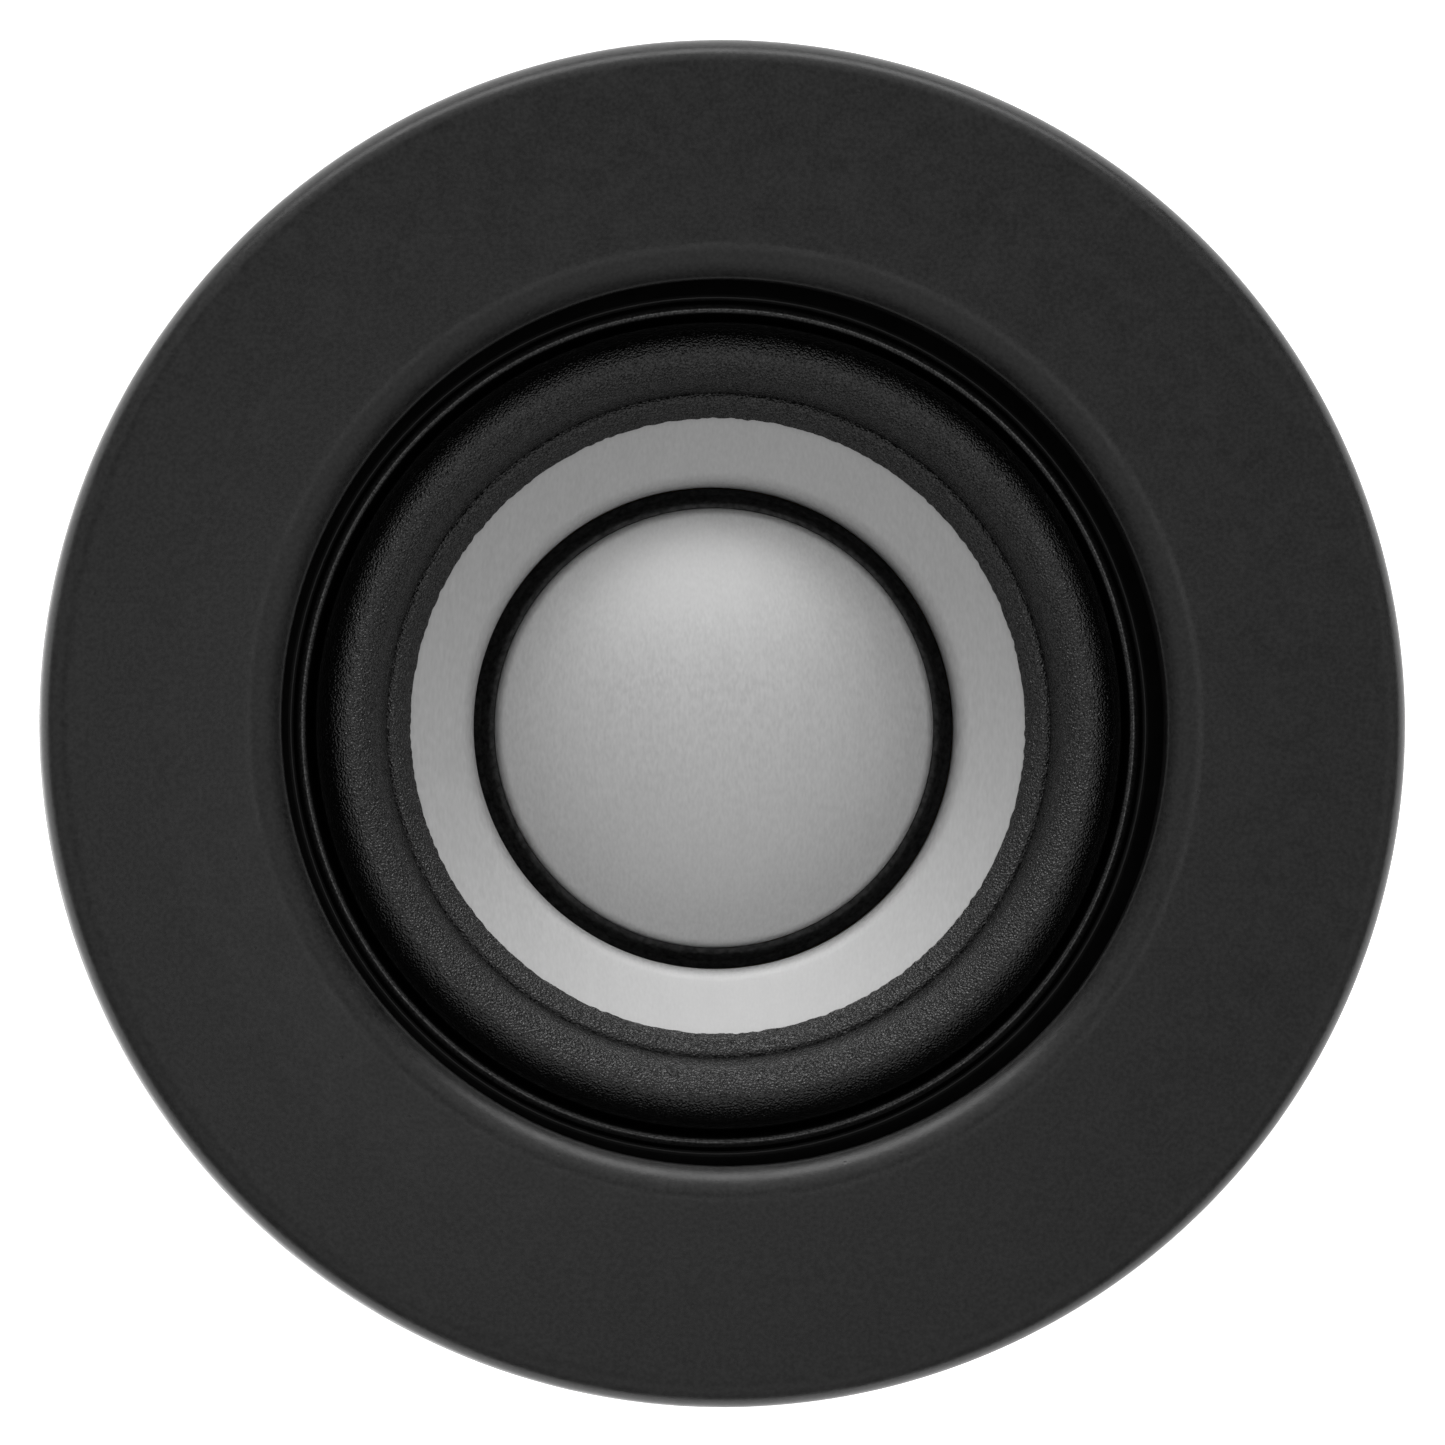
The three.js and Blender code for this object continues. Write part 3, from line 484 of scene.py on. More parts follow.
def grained_rubber(name, dark, light, rough, grain, depth, ior, smooth_from):
    """Black rubber with a leather-like grain whose tops catch the light, smooth outside a radius."""
    n = Nodes(name, IOR=ior)
    grained = n.range(n.radius_and_height()[0], smooth_from * MM, (smooth_from + 0.5) * MM, 1.0, 0.06)
    n.colour(n.mix(n.noise(per_mm(grain * 1.5), 3), grey(dark), grey(light)))
    gloss = n.range(n.noise(per_mm(grain * 0.9), 2, 0.6), 0.3, 0.7, 0.2, 0.85)
    n.join(gloss, n.shader.inputs["Specular IOR Level"])
    n.roughness(n.range(n.noise(per_mm(grain * 2), 2), 0.35, 0.65, rough - 0.08, rough + 0.08))
    n.bump(n.cells(per_mm(grain)), depth, grained)
    n.bump(n.noise(per_mm(grain * 1.1), 2, 0.7), depth * 0.8, grained)
    return n.material


def brushed_metal(name, dark, light, rough, line, length, depth, specks=0.0):
    """Satin metal with short straight brush marks along Y, line wide and length long in millimetres."""
    n = Nodes(name, Metallic=1.0)
    fine = n.noise(1.0, 1, 0.5, where=n.stretched((per_mm(line), per_mm(length), per_mm(line))))
    wide = n.noise(1.0, 2, 0.5, where=n.stretched((per_mm(line * 5), per_mm(length * 12), per_mm(line * 5))))
    tone = n.math("ADD", n.math("MULTIPLY", fine, 0.85), n.math("MULTIPLY", wide, 0.15))
    n.colour(n.mix(n.range(tone, 0.3, 0.7, 0.0, 1.0), grey(dark), grey(light)))
    n.roughness(n.range(fine, 0.3, 0.7, rough - 0.05, rough + 0.05))
    n.bump(fine, depth, 1.0)
    if specks:
        n.bump(n.range(n.cells(per_mm(2.3)), 0.0, 0.035, 0.0, 1.0), specks, 1.0)
    return n.material


def turned_steel(name, colour, rough, groove=0.12):
    """Plated steel with faint concentric turning marks."""
    n = Nodes(name, Metallic=1.0)
    radius, height = n.radius_and_height()
    across = n.add("ShaderNodeCombineXYZ")
    n.join(radius, across.inputs["X"])
    n.join(height, across.inputs["Y"])
    marks = n.noise(per_mm(groove), 2, 0.5, where=across.outputs["Vector"])
    blotch = n.noise(per_mm(4), 3)
    n.colour(n.mix(blotch, tuple(c * 0.9 for c in colour), colour))
    n.roughness(n.range(blotch, 0.3, 0.7, rough - 0.05, rough + 0.08))
    n.bump(marks, 0.004, 0.6)
    return n.material


def plain_metal(name, colour, rough, tarnish=0.85):
    """Small bright metal parts, with slight tarnish and handling marks."""
    n = Nodes(name, Metallic=1.0)
    n.colour(n.mix(n.noise(per_mm(0.8), 3), tuple(c * tarnish for c in colour), colour))
    n.roughness(n.range(n.noise(per_mm(0.5), 3), 0.3, 0.7, rough - 0.08, rough + 0.1))
    n.bump(n.noise(per_mm(0.15), 2), 0.003, 0.5)
    return n.material


def foam(name, dark, light):
    """Closed-cell foam."""
    n = Nodes(name, Roughness=0.95, IOR=1.4)
    cells = n.cells(per_mm(0.32))
    n.colour(n.mix(n.range(cells, 0.0, 0.7, 0.0, 1.0), grey(dark), grey(light)))
    n.bump(cells, 0.08, 0.9)
    return n.material


def felt_cloth(name, dark, light):
    """Pressed felt: matted short fibres."""
    n = Nodes(name, Roughness=1.0)
    fibres = n.noise(per_mm(0.12), 5, 0.75)
    n.shader.inputs["Sheen Weight"].default_value = 0.3
    n.colour(n.mix(n.range(fibres, 0.3, 0.7, 0.0, 1.0), dark, light))
    n.bump(fibres, 0.08, 0.9)
    return n.material


def woven_cloth(name, dark, light):
    """Plain woven cloth, stiffened with resin."""
    thread = 0.32
    n = Nodes(name, Roughness=0.75)
    split = n.add("ShaderNodeSeparateXYZ")
    n.join(n.stretched((per_mm(thread) * math.pi,) * 3), split.inputs["Vector"])
    warp = n.math("SINE", split.outputs["X"], 0)
    weft = n.math("SINE", split.outputs["Y"], 0)
    weave = n.math("MULTIPLY", warp, weft)
    n.colour(n.mix(n.range(weave, -1, 1, 0, 1), dark, light))
    n.bump(n.range(weave, -1, 1, 0, 1), 0.06, 0.9)
    n.bump(n.noise(per_mm(0.1), 3), 0.02, 0.5)
    return n.material


def amber_film(name):
    n = Nodes(name, Roughness=0.3)
    n.colour(n.mix(n.noise(per_mm(2), 3), (0.30, 0.13, 0.03), (0.40, 0.19, 0.05)))
    n.bump(n.noise(per_mm(0.4), 2), 0.004, 0.4)
    return n.material


def fibre_board(name):
    """Brown phenolic board, with a paper-like fleck."""
    n = Nodes(name, Roughness=0.6)
    fleck = n.noise(1.0, 4, 0.65, where=n.stretched((per_mm(0.5), per_mm(0.5), per_mm(0.12))))
    n.colour(n.mix(n.range(fleck, 0.3, 0.7, 0, 1), (0.10, 0.045, 0.018), (0.21, 0.10, 0.045)))
    n.bump(fleck, 0.01, 0.6)
    return n.material


def shrink_sleeve(name):
    """The capacitor's thin glossy sleeve."""
    n = Nodes(name, IOR=1.5)
    n.shader.inputs["Coat Weight"].default_value = 0.3
    n.colour(n.mix(n.noise(per_mm(2.5), 2), (0.012, 0.02, 0.07), (0.02, 0.035, 0.11)))
    n.roughness(n.range(n.noise(per_mm(1), 2), 0.3, 0.7, 0.25, 0.38))
    n.bump(n.noise(per_mm(1.8), 2), 0.02, 0.5)
    return n.material


FLANGE_PLASTIC = moulded_plastic("flange_plastic", 0.0, 0.014, 0.32)
NUT_PLASTIC = moulded_plastic("nut_plastic", 0.006, 0.009, 0.48)
BASKET_PLASTIC = moulded_plastic("basket_plastic", 0.002, 0.004, 0.42)
SURROUND_RUBBER = grained_rubber("surround_rubber", 0.0005, 0.002, 0.18, 0.1, 0.046, 1.58, 17.3)
BOND_RUBBER = grained_rubber("bond_rubber", 0.001, 0.003, 0.45, 0.3, 0.003, 1.42, DOME_R + 2)
DOME_METAL = brushed_metal("dome_metal", 0.63, 0.73, 0.56, 0.13, 0.34, 0.0008, specks=0.01)
CONE_METAL = brushed_metal("cone_metal", 0.585, 0.685, 0.68, 0.13, 0.45, 0.0006)
YOKE_STEEL = turned_steel("yoke_steel_finish", (0.50, 0.51, 0.53), 0.3)
WASHER_STEEL = turned_steel("washer_steel_finish", (0.47, 0.48, 0.48), 0.34, 0.3)
POLE_STEEL = turned_steel("pole_steel_finish", (0.45, 0.46, 0.47), 0.35)
NICKEL = plain_metal("nickel_finish", (0.62, 0.60, 0.56), 0.2)
COPPER = plain_metal("copper_finish", (0.80, 0.42, 0.26), 0.28)
BRASS = plain_metal("brass_finish", (0.70, 0.50, 0.22), 0.3)
TINNED = plain_metal("tinned_finish", (0.56, 0.56, 0.54), 0.28)
SOLDER = plain_metal("solder_finish", (0.62, 0.62, 0.62), 0.2)
BLACK_STEEL = plain_metal("black_steel_finish", (0.06, 0.06, 0.065), 0.35, 0.7)
BRAID = plain_metal("braid_finish", (0.62, 0.36, 0.22), 0.4, 0.7)
CAN_METAL = plain_metal("can_finish", (0.72, 0.72, 0.73), 0.25)
FOAM = foam("foam_finish", 0.006, 0.022)
FELT = felt_cloth("felt_finish", grey(0.03), grey(0.09))
SPIDER_CLOTH = woven_cloth("spider_finish", (0.30, 0.19, 0.06), (0.50, 0.35, 0.15))
FILM = amber_film("film_finish")
FIBRE = fibre_board("fibre_finish")
SLEEVE = shrink_sleeve("sleeve_finish")


# ---------------------------------------------------------------- flange, gasket, washer and lock ring
def thread_phase(height, angle, start):
    """How many turns of a thread lie between its start and this height, on this side."""
    return (height - start) / PITCH - angle / (2 * math.pi)


def ridge(phase, half_width, flank):
    """A thread's section: 1 on the crest, falling over the flank to 0 at half_width from its middle."""
    off_ridge = np.abs((phase + 0.5) % 1 - 0.5) * PITCH
    return np.clip((half_width - off_ridge) / flank, 0, 1)


def barrel_shape(radius, height, angle):
    """Adds the thread ridge to the barrel's outer wall and planes its two flats."""
    on_wall = np.abs(radius - THREAD_ROOT_R) < 0.02
    phase = thread_phase(height, angle, THREAD_BOTTOM)
    crest = ridge(phase, 0.66, 0.28)
    crest = crest * crest * (3 - 2 * crest)
    along = phase.round() + angle / (2 * math.pi)
    turns = (THREAD_TOP - THREAD_BOTTOM) / PITCH
    run_out = 0.06
    fade = np.clip(along / run_out, 0, 1) * np.clip((turns - along) / run_out, 0, 1)
    radius = np.where(on_wall, radius + (THREAD_CREST_R - THREAD_ROOT_R) * crest * fade, radius)
    flat_here = (radius > FLAT_X - 0.4) & (radius < THREAD_CREST_R + 0.1) & (height < FLANGE_BACK - 1.3)
    limit = FLAT_X / np.maximum(np.abs(np.cos(angle)), 1e-6)
    return np.where(flat_here, np.minimum(radius, limit), radius), height


def front_flange():
    """The face rolls over into the opening, whose wall is cut back behind the lip."""
    rim_front = FLANGE_TOP - CROWN_FALL
    middle_r = (BORE_R + FLANGE_R) / 2
    roll_r = BORE_R + LIP_ROUND
    turn_end = math.radians(48)
    nose = 0.5
    nose_r = roll_r - (LIP_ROUND - nose) * math.sin(turn_end)
    nose_z = FLANGE_TOP - LIP_ROUND + (LIP_ROUND - nose) * math.cos(turn_end)
    lip = [
        *[
            (nose_r - nose * math.sin(a), nose_z + nose * math.cos(a))
            for a in np.linspace(1.8, turn_end, 10)
        ],
        *[
            (roll_r - LIP_ROUND * math.sin(a), FLANGE_TOP - LIP_ROUND * (1 - math.cos(a)))
            for a in np.linspace(turn_end, 0, 24)[1:]
        ],
    ]
    past_ends, row_step = 0.9, 0.06
    thread_rows = [
        (THREAD_ROOT_R, z) for z in np.arange(THREAD_TOP + past_ends, THREAD_BOTTOM - past_ends, -row_step)
    ]
    corners = [
        (BORE_R + 0.57, SEAT, 0.12),
        *lip,
        (middle_r, FLANGE_TOP - CROWN_FALL * 0.35, 14),
        (FLANGE_R, rim_front, RIM_ROUND),
        (FLANGE_R, FLANGE_BACK, 0.3),
        (THREAD_ROOT_R, FLANGE_BACK, 0.35),
        *thread_rows,
        (THREAD_ROOT_R, BARREL_END, 0.3),
        (BARREL_IN_R, BARREL_END, 0.25),
        (BARREL_IN_R, SEAT, 0.15),
    ]
    outline = subdivided(rounded(corners, 10), 0.16)
    obj = turned("flange_moulding", outline, 360, barrel_shape, 50)
    dress(obj, "housing", FLANGE_PLASTIC, ["front_flange"])


def panel_gasket():
    lowest, highest = low("panel_gasket"), high("panel_gasket")
    inner = THREAD_CREST_R + 0.3
    corners = [
        (inner, lowest.z, 0.18), (inner + 0.12, (lowest.z + highest.z) / 2, 0.5), (inner, highest.z, 0.18),
        (highest.x, highest.z, 0.18), (highest.x - 0.14, (lowest.z + highest.z) / 2, 0.5),
        (highest.x, lowest.z, 0.18),
    ]
    rng = np.random.default_rng(3)
    waves = rng.uniform(0, 2 * math.pi, 6)

    def uneven(radius, height, angle):
        swell = sum(np.sin((7 + 5 * k) * angle + waves[k]) for k in range(6)) * 0.006
        return radius - 0.04 + swell, height

    obj = turned("gasket_foam_ring", subdivided(rounded(corners, 4), 0.3), 300, uneven)
    dress(obj, "housing", FOAM, ["panel_gasket"])


def clamp_washer():
    lowest, highest = low("clamp_washer"), high("clamp_washer")
    hole_r = THREAD_CREST_R + 0.3
    corners = [
        (hole_r, lowest.z, 0.12), (highest.x, lowest.z, 0.3), (highest.x, highest.z, 0.3),
        (hole_r, highest.z, 0.12),
    ]

    def keyed(radius, height, angle):
        limit = (FLAT_X + 0.3) / np.maximum(np.abs(np.cos(angle)), 1e-6)
        inner = radius < hole_r + 0.5
        return np.where(inner, np.minimum(radius, limit + (radius - hole_r)), radius), height

    obj = turned("washer_ring", subdivided(rounded(corners, 4), 0.4), 360, keyed)
    dress(obj, "clamp", WASHER_STEEL, ["clamp_washer"])


def lock_ring():
    bore = THREAD_CREST_R + 0.3
    corners = [
        (bore, RING_BACK, 0.15), (RING_R, RING_BACK, 0.5), (RING_R, RING_FRONT, 0.5),
        (bore, RING_FRONT, 0.15),
    ]
    cutter_r = 2.1
    cutter_at = RING_R + 1.1
    step = 2 * math.pi / SCALLOPS
    ridge_start, ridge_depth = THREAD_BOTTOM + PITCH / 2, 0.8

    def nut_shape(radius, height, angle):
        off = (angle % step) - step / 2
        across = cutter_at * np.sin(off)
        dip = cutter_at * np.cos(off) - np.sqrt(np.maximum(cutter_r ** 2 - across ** 2, 0))
        cut = np.where(np.abs(across) < cutter_r, dip, RING_R + 1)
        stays = np.clip((RING_FRONT - 0.55 - height) / 0.35, 0, 1)
        outer = radius > bore + 1.2
        soft = 0.12
        share = np.clip(0.5 + (cut - radius) / (2 * soft), 0, 1)
        lowered = cut * (1 - share) + radius * share - soft * share * (1 - share)
        radius = np.where(outer & (cut < RING_R + 1), radius + (lowered - radius) * stays, radius)
        inner = radius < bore + 0.02
        crest = ridge(thread_phase(height, angle, ridge_start), 0.56, 0.24)
        above_back, below_front = height - RING_BACK - 0.2, RING_FRONT - 0.2 - height
        edge = np.clip(above_back / 0.3, 0, 1) * np.clip(below_front / 0.3, 0, 1)
        return np.where(inner, radius - ridge_depth * crest * edge, radius), height

    obj = turned("lock_nut", subdivided(rounded(corners, 6), 0.14), 720, nut_shape, 50)
    dress(obj, "nut", NUT_PLASTIC, ["lock_ring"])


# ---------------------------------------------------------------- diaphragm
def cone_front(radius):
    """Height of the cone's front face."""
    return CONE_SEEN_Z + (radius - CONE_SEEN_R) * math.tan(CONE_SLOPE)


def surround():
    """A half roll between the cone's edge, where it thins to a ragged rim, and the basket's lip."""
    thick = 0.3
    rim_width, wobble_size = 0.35, 0.003
    lip = SURROUND_LIP_Z - thick / 2
    valley_z = cone_front(14.65) + 0.08
    crest_r = 16.3
    top = SURROUND_TOP - thick / 2
    trough_r, trough_z = 17.8, 19.6

    def flank(foot_r, foot_z, degrees):
        return [
            (crest_r + (foot_r - crest_r) * math.sin(math.radians(a)),
             foot_z + (top - foot_z) * math.cos(math.radians(a)))
            for a in degrees
        ]

    middle = rounded([
        (CONE_SEEN_R, cone_front(CONE_SEEN_R) + 0.14),
        (14.42, valley_z + 0.09, 0.25),
        (14.7, valley_z, 0.1),
        *flank(14.76, valley_z, range(84, 0, -6)), *flank(trough_r, trough_z, range(0, 84, 6)),
        (trough_r + 0.06, trough_z, 0.05),
        (18.2, lip - 0.05, 0.1),
        (18.34, lip, 0.12),
        (18.48, lip - 0.03, 0.1),
        (SURROUND_OUT_R, lip - 0.2),
    ], 4, closed=False)
    middle = subdivided(middle, 0.12, closed=False)
    thickness = np.full(len(middle), thick)
    near_edge = np.clip((middle[:, 0] - CONE_SEEN_R) / rim_width, 0, 1)
    thickness *= 0.35 + 0.65 * near_edge
    rng = np.random.default_rng(11)
    phases = rng.uniform(0, 2 * math.pi, 40)
    counts = rng.integers(30, 210, 40)

    def ragged(radius, height, angle):
        wobble = sum(np.sin(c * angle + p) for c, p in zip(counts, phases)) * wobble_size
        share = np.clip(1 - (radius - CONE_SEEN_R) / rim_width, 0, 1.2)
        return radius + wobble * share, height

    obj = turned("surround_roll", sheet_outline(middle, thickness), 720, ragged, 60)
    blend_radially(obj, 14.5, 17.9)
    dress(obj, "housing", SURROUND_RUBBER, ["surround"])


def cone():
    bend = 0.9
    neck = CONE_NECK_R + SHEET / 2
    start_r = neck + bend * (1 - math.sin(CONE_SLOPE))

    def middle_z(radius):
        return cone_front(radius) - SHEET / 2

    bend_z = middle_z(start_r) - bend * math.cos(CONE_SLOPE)
    arc = [
        (neck + bend * (1 - math.cos(a)), bend_z + bend * math.sin(a))
        for a in np.linspace(math.pi / 2 - CONE_SLOPE, 0, 14)
    ]
    middle = subdivided([(CONE_OUT_R, middle_z(CONE_OUT_R)), *arc, (neck, CONE_END)], 0.35, closed=False)
    obj = turned("cone_shell", sheet_outline(middle, SHEET), 360, None, 60)
    dress(obj, "diaphragm", CONE_METAL, ["cone"])


def dome():
    """A shallow spherical cap that turns through a rounded edge into a short wall."""
    edge_round = 0.7
    wall_r = DOME_R + DOME_SWELL
    shoulder_r = wall_r - edge_round
    half_angle = 2 * math.atan((DOME_TOP - DOME_EDGE_Z - edge_round) / shoulder_r)
    cap_r = shoulder_r / math.sin(half_angle) + edge_round

    def face(inset):
        cap = [
            ((cap_r - inset) * math.sin(a), DOME_TOP - cap_r + (cap_r - inset) * math.cos(a))
            for a in np.linspace(0, half_angle, 48)
        ]
        edge = [
            (shoulder_r + (edge_round - inset) * math.sin(a),
             DOME_EDGE_Z + (edge_round - inset) * math.cos(a))
            for a in np.linspace(half_angle, math.pi / 2, 12)[1:]
        ]
        return [*cap, *edge, (wall_r - inset, DOME_END)]

    obj = turned("dome_shell", face(0) + face(SHEET)[::-1], 256, None, 60)
    dress(obj, "diaphragm", DOME_METAL, ["dome"])


def dome_bonding_ring():
    """The black bead between dome and cone, which falls away from the dome's edge."""
    inner, outer, bottom = DOME_R + DOME_SWELL + 0.02, CONE_NECK_R - 0.06, low("dome_bonding_ring").z
    corners = [
        (inner, bottom), (outer, bottom), (outer, bottom + 0.3, 0.05), (outer - 0.3, DOME_EDGE_Z - 0.6, 0.3),
        (inner + 0.25, DOME_EDGE_Z - 0.08, 0.3), (inner, DOME_EDGE_Z, 0.02),
    ]
    obj = turned("bond_ring", subdivided(rounded(corners, 5), 0.08), 256)
    dress(obj, "diaphragm", BOND_RUBBER, ["dome_bonding_ring"])


def voice_coil():
    inner, outer = low("voice_coil_winding"), high("voice_coil_winding")
    wire = 0.22
    turns = int((outer.z - inner.z) / wire)
    wall = [
        (outer.x - wire / 2 + wire / 2 * math.sin(a), inner.z + (k + 0.5) * wire - wire / 2 * math.cos(a))
        for k in range(turns) for a in np.linspace(0.2, math.pi - 0.2, 5)
    ]
    winding_in_r = 9.63
    outline = [(winding_in_r, inner.z), *wall, (winding_in_r, wall[-1][1])]
    winding = turned("coil_turns", outline, 128, None, 50)
    dress(winding, "diaphragm", COPPER, ["voice_coil_winding"])
    former_low, former_high = low("voice_coil_former"), high("voice_coil_former")
    in_r, out_r = 9.45, 9.6
    corners = [
        (in_r, former_low.z, 0.03), (out_r, former_low.z, 0.03), (out_r, former_high.z),
        (in_r, former_high.z),
    ]
    former = turned("coil_sleeve", subdivided(rounded(corners, 3), 0.5), 128)
    dress(former, "diaphragm", FILM, ["voice_coil_former"])


def spider():
    inner, outer, thick = 9.7, high("spider").x, 0.3
    middle_z = 14.25
    wave_in, wave_out, waves, swing = 10.4, 14.9, 3.5, 0.4
    radius = np.linspace(inner, outer, 150)
    t = np.clip((radius - wave_in) / (wave_out - wave_in), 0, 1)
    height = middle_z - swing * np.cos(2 * math.pi * waves * t) * np.sin(math.pi * t) ** 0.3
    obj = turned("spider_cloth_disc", sheet_outline(np.column_stack([radius, height]), thick), 192, None, 60)
    blend_radially(obj, 10.2, 15.3)
    dress(obj, "housing", SPIDER_CLOTH, ["spider"])


# ---------------------------------------------------------------- basket and motor
def basket():
    rim_out, rim_top = high("basket").x, SEAT - 0.3
    seat = SURROUND_LIP_Z - 0.45
    coil_hole = 10.95
    bottom = 10.8
    corners = [
        (coil_hole, bottom, 0.1), (13.5, bottom), (13.5, 8.6, 0.1), (14.8, 8.6, 0.25), (14.8, 12.6, 0.4),
        (18.2, 13.4, 0.5), (18.5, 17.2, 0.5), (19.4, 18.8, 0.3), (rim_out, 19.0, 0.2),
        (rim_out, rim_top, 0.15),
        (BORE_R + 1.6, rim_top, 0.1), (BORE_R + 1.3, rim_top - 0.8, 0.1),
        (BORE_R - 0.07, rim_top + 0.15, 0.06),
        (BORE_R - 0.2, rim_top + 0.2, 0.05), (SURROUND_OUT_R + 0.08, rim_top + 0.1, 0.05),
        (SURROUND_OUT_R + 0.08, seat - 0.2), (17.95, seat - 0.2, 0.05), (17.95, 18.9, 0.2),
        (17.2, 18.0, 0.2),
        (17.2, 13.95), (15.2, 13.95, 0.1), (14.4, 12.0, 0.15), (coil_hole, 12.0, 0.1),
    ]
    obj = turned("basket_frame", rounded(corners, 3), 144, None, 40)
    pad = block("pad", (-18.8, -6.5, 11.3), (-15.6, 6.5, 13.6))
    cut_away(obj, [pad], "UNION")
    windows = [
        block("window", (14, -5.5, 14.6), (24, 5.5, 18.6), math.radians(30 + 60 * i)) for i in range(6)
    ]
    cut_away(obj, windows)
    tidy(obj)
    dress(obj, "housing", BASKET_PLASTIC, ["basket"])


def basket_screws():
    for number in (1, 2, 3):
        node = f"basket_screw_{number}"
        lowest, highest = low(node), high(node)
        middle = (lowest + highest) / 2
        head_r = (highest.x - lowest.x) / 2
        back = lowest.z
        ribs = [(0.8 - 0.12 * (k % 2), back + 1.2 + 0.2 * k) for k in range(16)]
        corners = [
            (0, back), (head_r - 0.35, back, 0.4), (head_r, back + 0.45, 0.25), (head_r, back + 0.9, 0.06),
            (0.8, back + 0.9, 0.03), *ribs, (0, highest.z),
        ]
        screw = turned(f"rim_screw_{number}", rounded(corners, 3), 48)
        arms = [
            block("arm", (-0.85, -0.16, back - 1), (0.85, 0.16, back + 0.5)),
            block("arm", (-0.16, -0.85, back - 1), (0.16, 0.85, back + 0.5)),
        ]
        cut_away(screw, arms)
        screw.data.transform(Matrix.Translation(Vector((middle.x, middle.y, 0)) * MM))
        tidy(screw)
        dress(screw, "housing", BLACK_STEEL, [node])


def yoke_cup():
    highest = high("yoke_cup")
    corners = [
        (0, 0), (1.6, 0, 0.05), (2.0, 0.25, 0.1), (2.4, 0, 0.05), (highest.x, 0, 0.6),
        (highest.x, highest.z, 0.2),
        (10.45, highest.z, 0.15), (10.45, 2.0, 0.3), (0, 2.0),
    ]
    obj = turned("magnet_cup", subdivided(rounded(corners, 6), 0.6), 256)
    dress(obj, "housing", YOKE_STEEL, ["yoke_cup"])


def damping_felt():
    lowest, highest = low("damping_felt"), high("damping_felt")
    corners = [
        (0, lowest.z), (highest.x - 0.05, lowest.z, 0.2), (highest.x - 0.05, highest.z - 0.05, 0.35),
        (0, highest.z - 0.05),
    ]

    def fuzzy(radius, height, angle):
        wave = 0.03 * np.sin(9 * angle + 40 * radius) + 0.02 * np.sin(23 * angle)
        return radius + wave * (radius > 5), height

    obj = turned("felt_disc", subdivided(rounded(corners, 4), 0.4), 128, fuzzy)
    dress(obj, "housing", FELT, ["damping_felt"])


def dress_hidden_nodes():
    """The motor's inner pieces keep their CAD shape."""
    for node, material in (("magnet", NICKEL), ("pole_plate", POLE_STEEL), ("shorting_cap", COPPER)):
        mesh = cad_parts[node].data
        mesh.materials.clear()
        mesh.materials.append(material)


# ---------------------------------------------------------------- terminals and wiring
TAB_OUTER = low("terminal_blade_positive").x
TAB_INNER = high("terminal_blade_positive").x


def flat_pieces():
    for node, name, width, material, slot in (
        ("terminal_board", "tab_board", 0.12, FIBRE, "board_fibre"),
        ("terminal_blade_positive", "blade_wide", 0.1, TINNED, "tinned_brass"),
        ("terminal_blade_negative", "blade_narrow", 0.1, TINNED, "tinned_brass"),
        ("link_tag", "link_strip", 0.1, TINNED, "tinned_brass"),
    ):
        obj = bevelled_copy(node, name, width)
        dress(obj, "housing", material, [node])


def turned_along_x(name, outline, y, z, steps=40):
    """A solid of revolution about a line along X; the outline's heights are X."""
    obj = turned(name, outline, steps)
    turn = Matrix.Rotation(math.pi / 2, 4, "Y")
    obj.data.transform(Matrix.Translation(Vector((0, y, z)) * MM) @ turn)
    tidy(obj)
    return obj


def terminal_rivets():
    for number in (1, 2, 3):
        node = f"terminal_rivet_{number}"
        lowest, highest = low(node), high(node)
        y, z = (lowest.y + highest.y) / 2, (lowest.z + highest.z) / 2
        head = (highest.y - lowest.y) / 2
        thick = 0.3
        corners = [
            (0, lowest.x + 0.12), (0.35, lowest.x + 0.12, 0.05), (0.45, lowest.x, 0.08),
            (head, lowest.x + 0.05, 0.12), (head, lowest.x + thick, 0.05), (0.6, lowest.x + thick),
            (0.6, highest.x - thick), (head, highest.x - thick, 0.05), (head * 0.9, highest.x, 0.2),
            (0, highest.x),
        ]
        rivet = turned_along_x(f"tab_rivet_{number}", rounded(corners, 4), y, z)
        dress(rivet, "housing", BRASS, [node])


def board_screw():
    lowest, highest = low("board_screw"), high("board_screw")
    y, z = (lowest.y + highest.y) / 2, (lowest.z + highest.z) / 2
    head = (highest.y - lowest.y) / 2
    corners = [
        (0, lowest.x), (head * 0.7, lowest.x, 0.3), (head, lowest.x + 0.35, 0.15),
        (head, lowest.x + 0.7, 0.05),
        (0.7, lowest.x + 0.7), (0.7, highest.x - 0.4), (0, highest.x),
    ]
    obj = turned_along_x("pad_screw", rounded(corners, 4), y, z, 48)
    slot = block("slot", (lowest.x - 0.5, y - 0.15, z - 2), (lowest.x + 0.3, y + 0.15, z + 2))
    cut_away(obj, [slot])
    tidy(obj)
    dress(obj, "housing", BLACK_STEEL, ["board_screw"])


def twisted(around, share):
    """The lobed section of a lead braided from seven strands."""
    return 0.9 + 0.1 * np.cos(7 * (around + 26 * share))


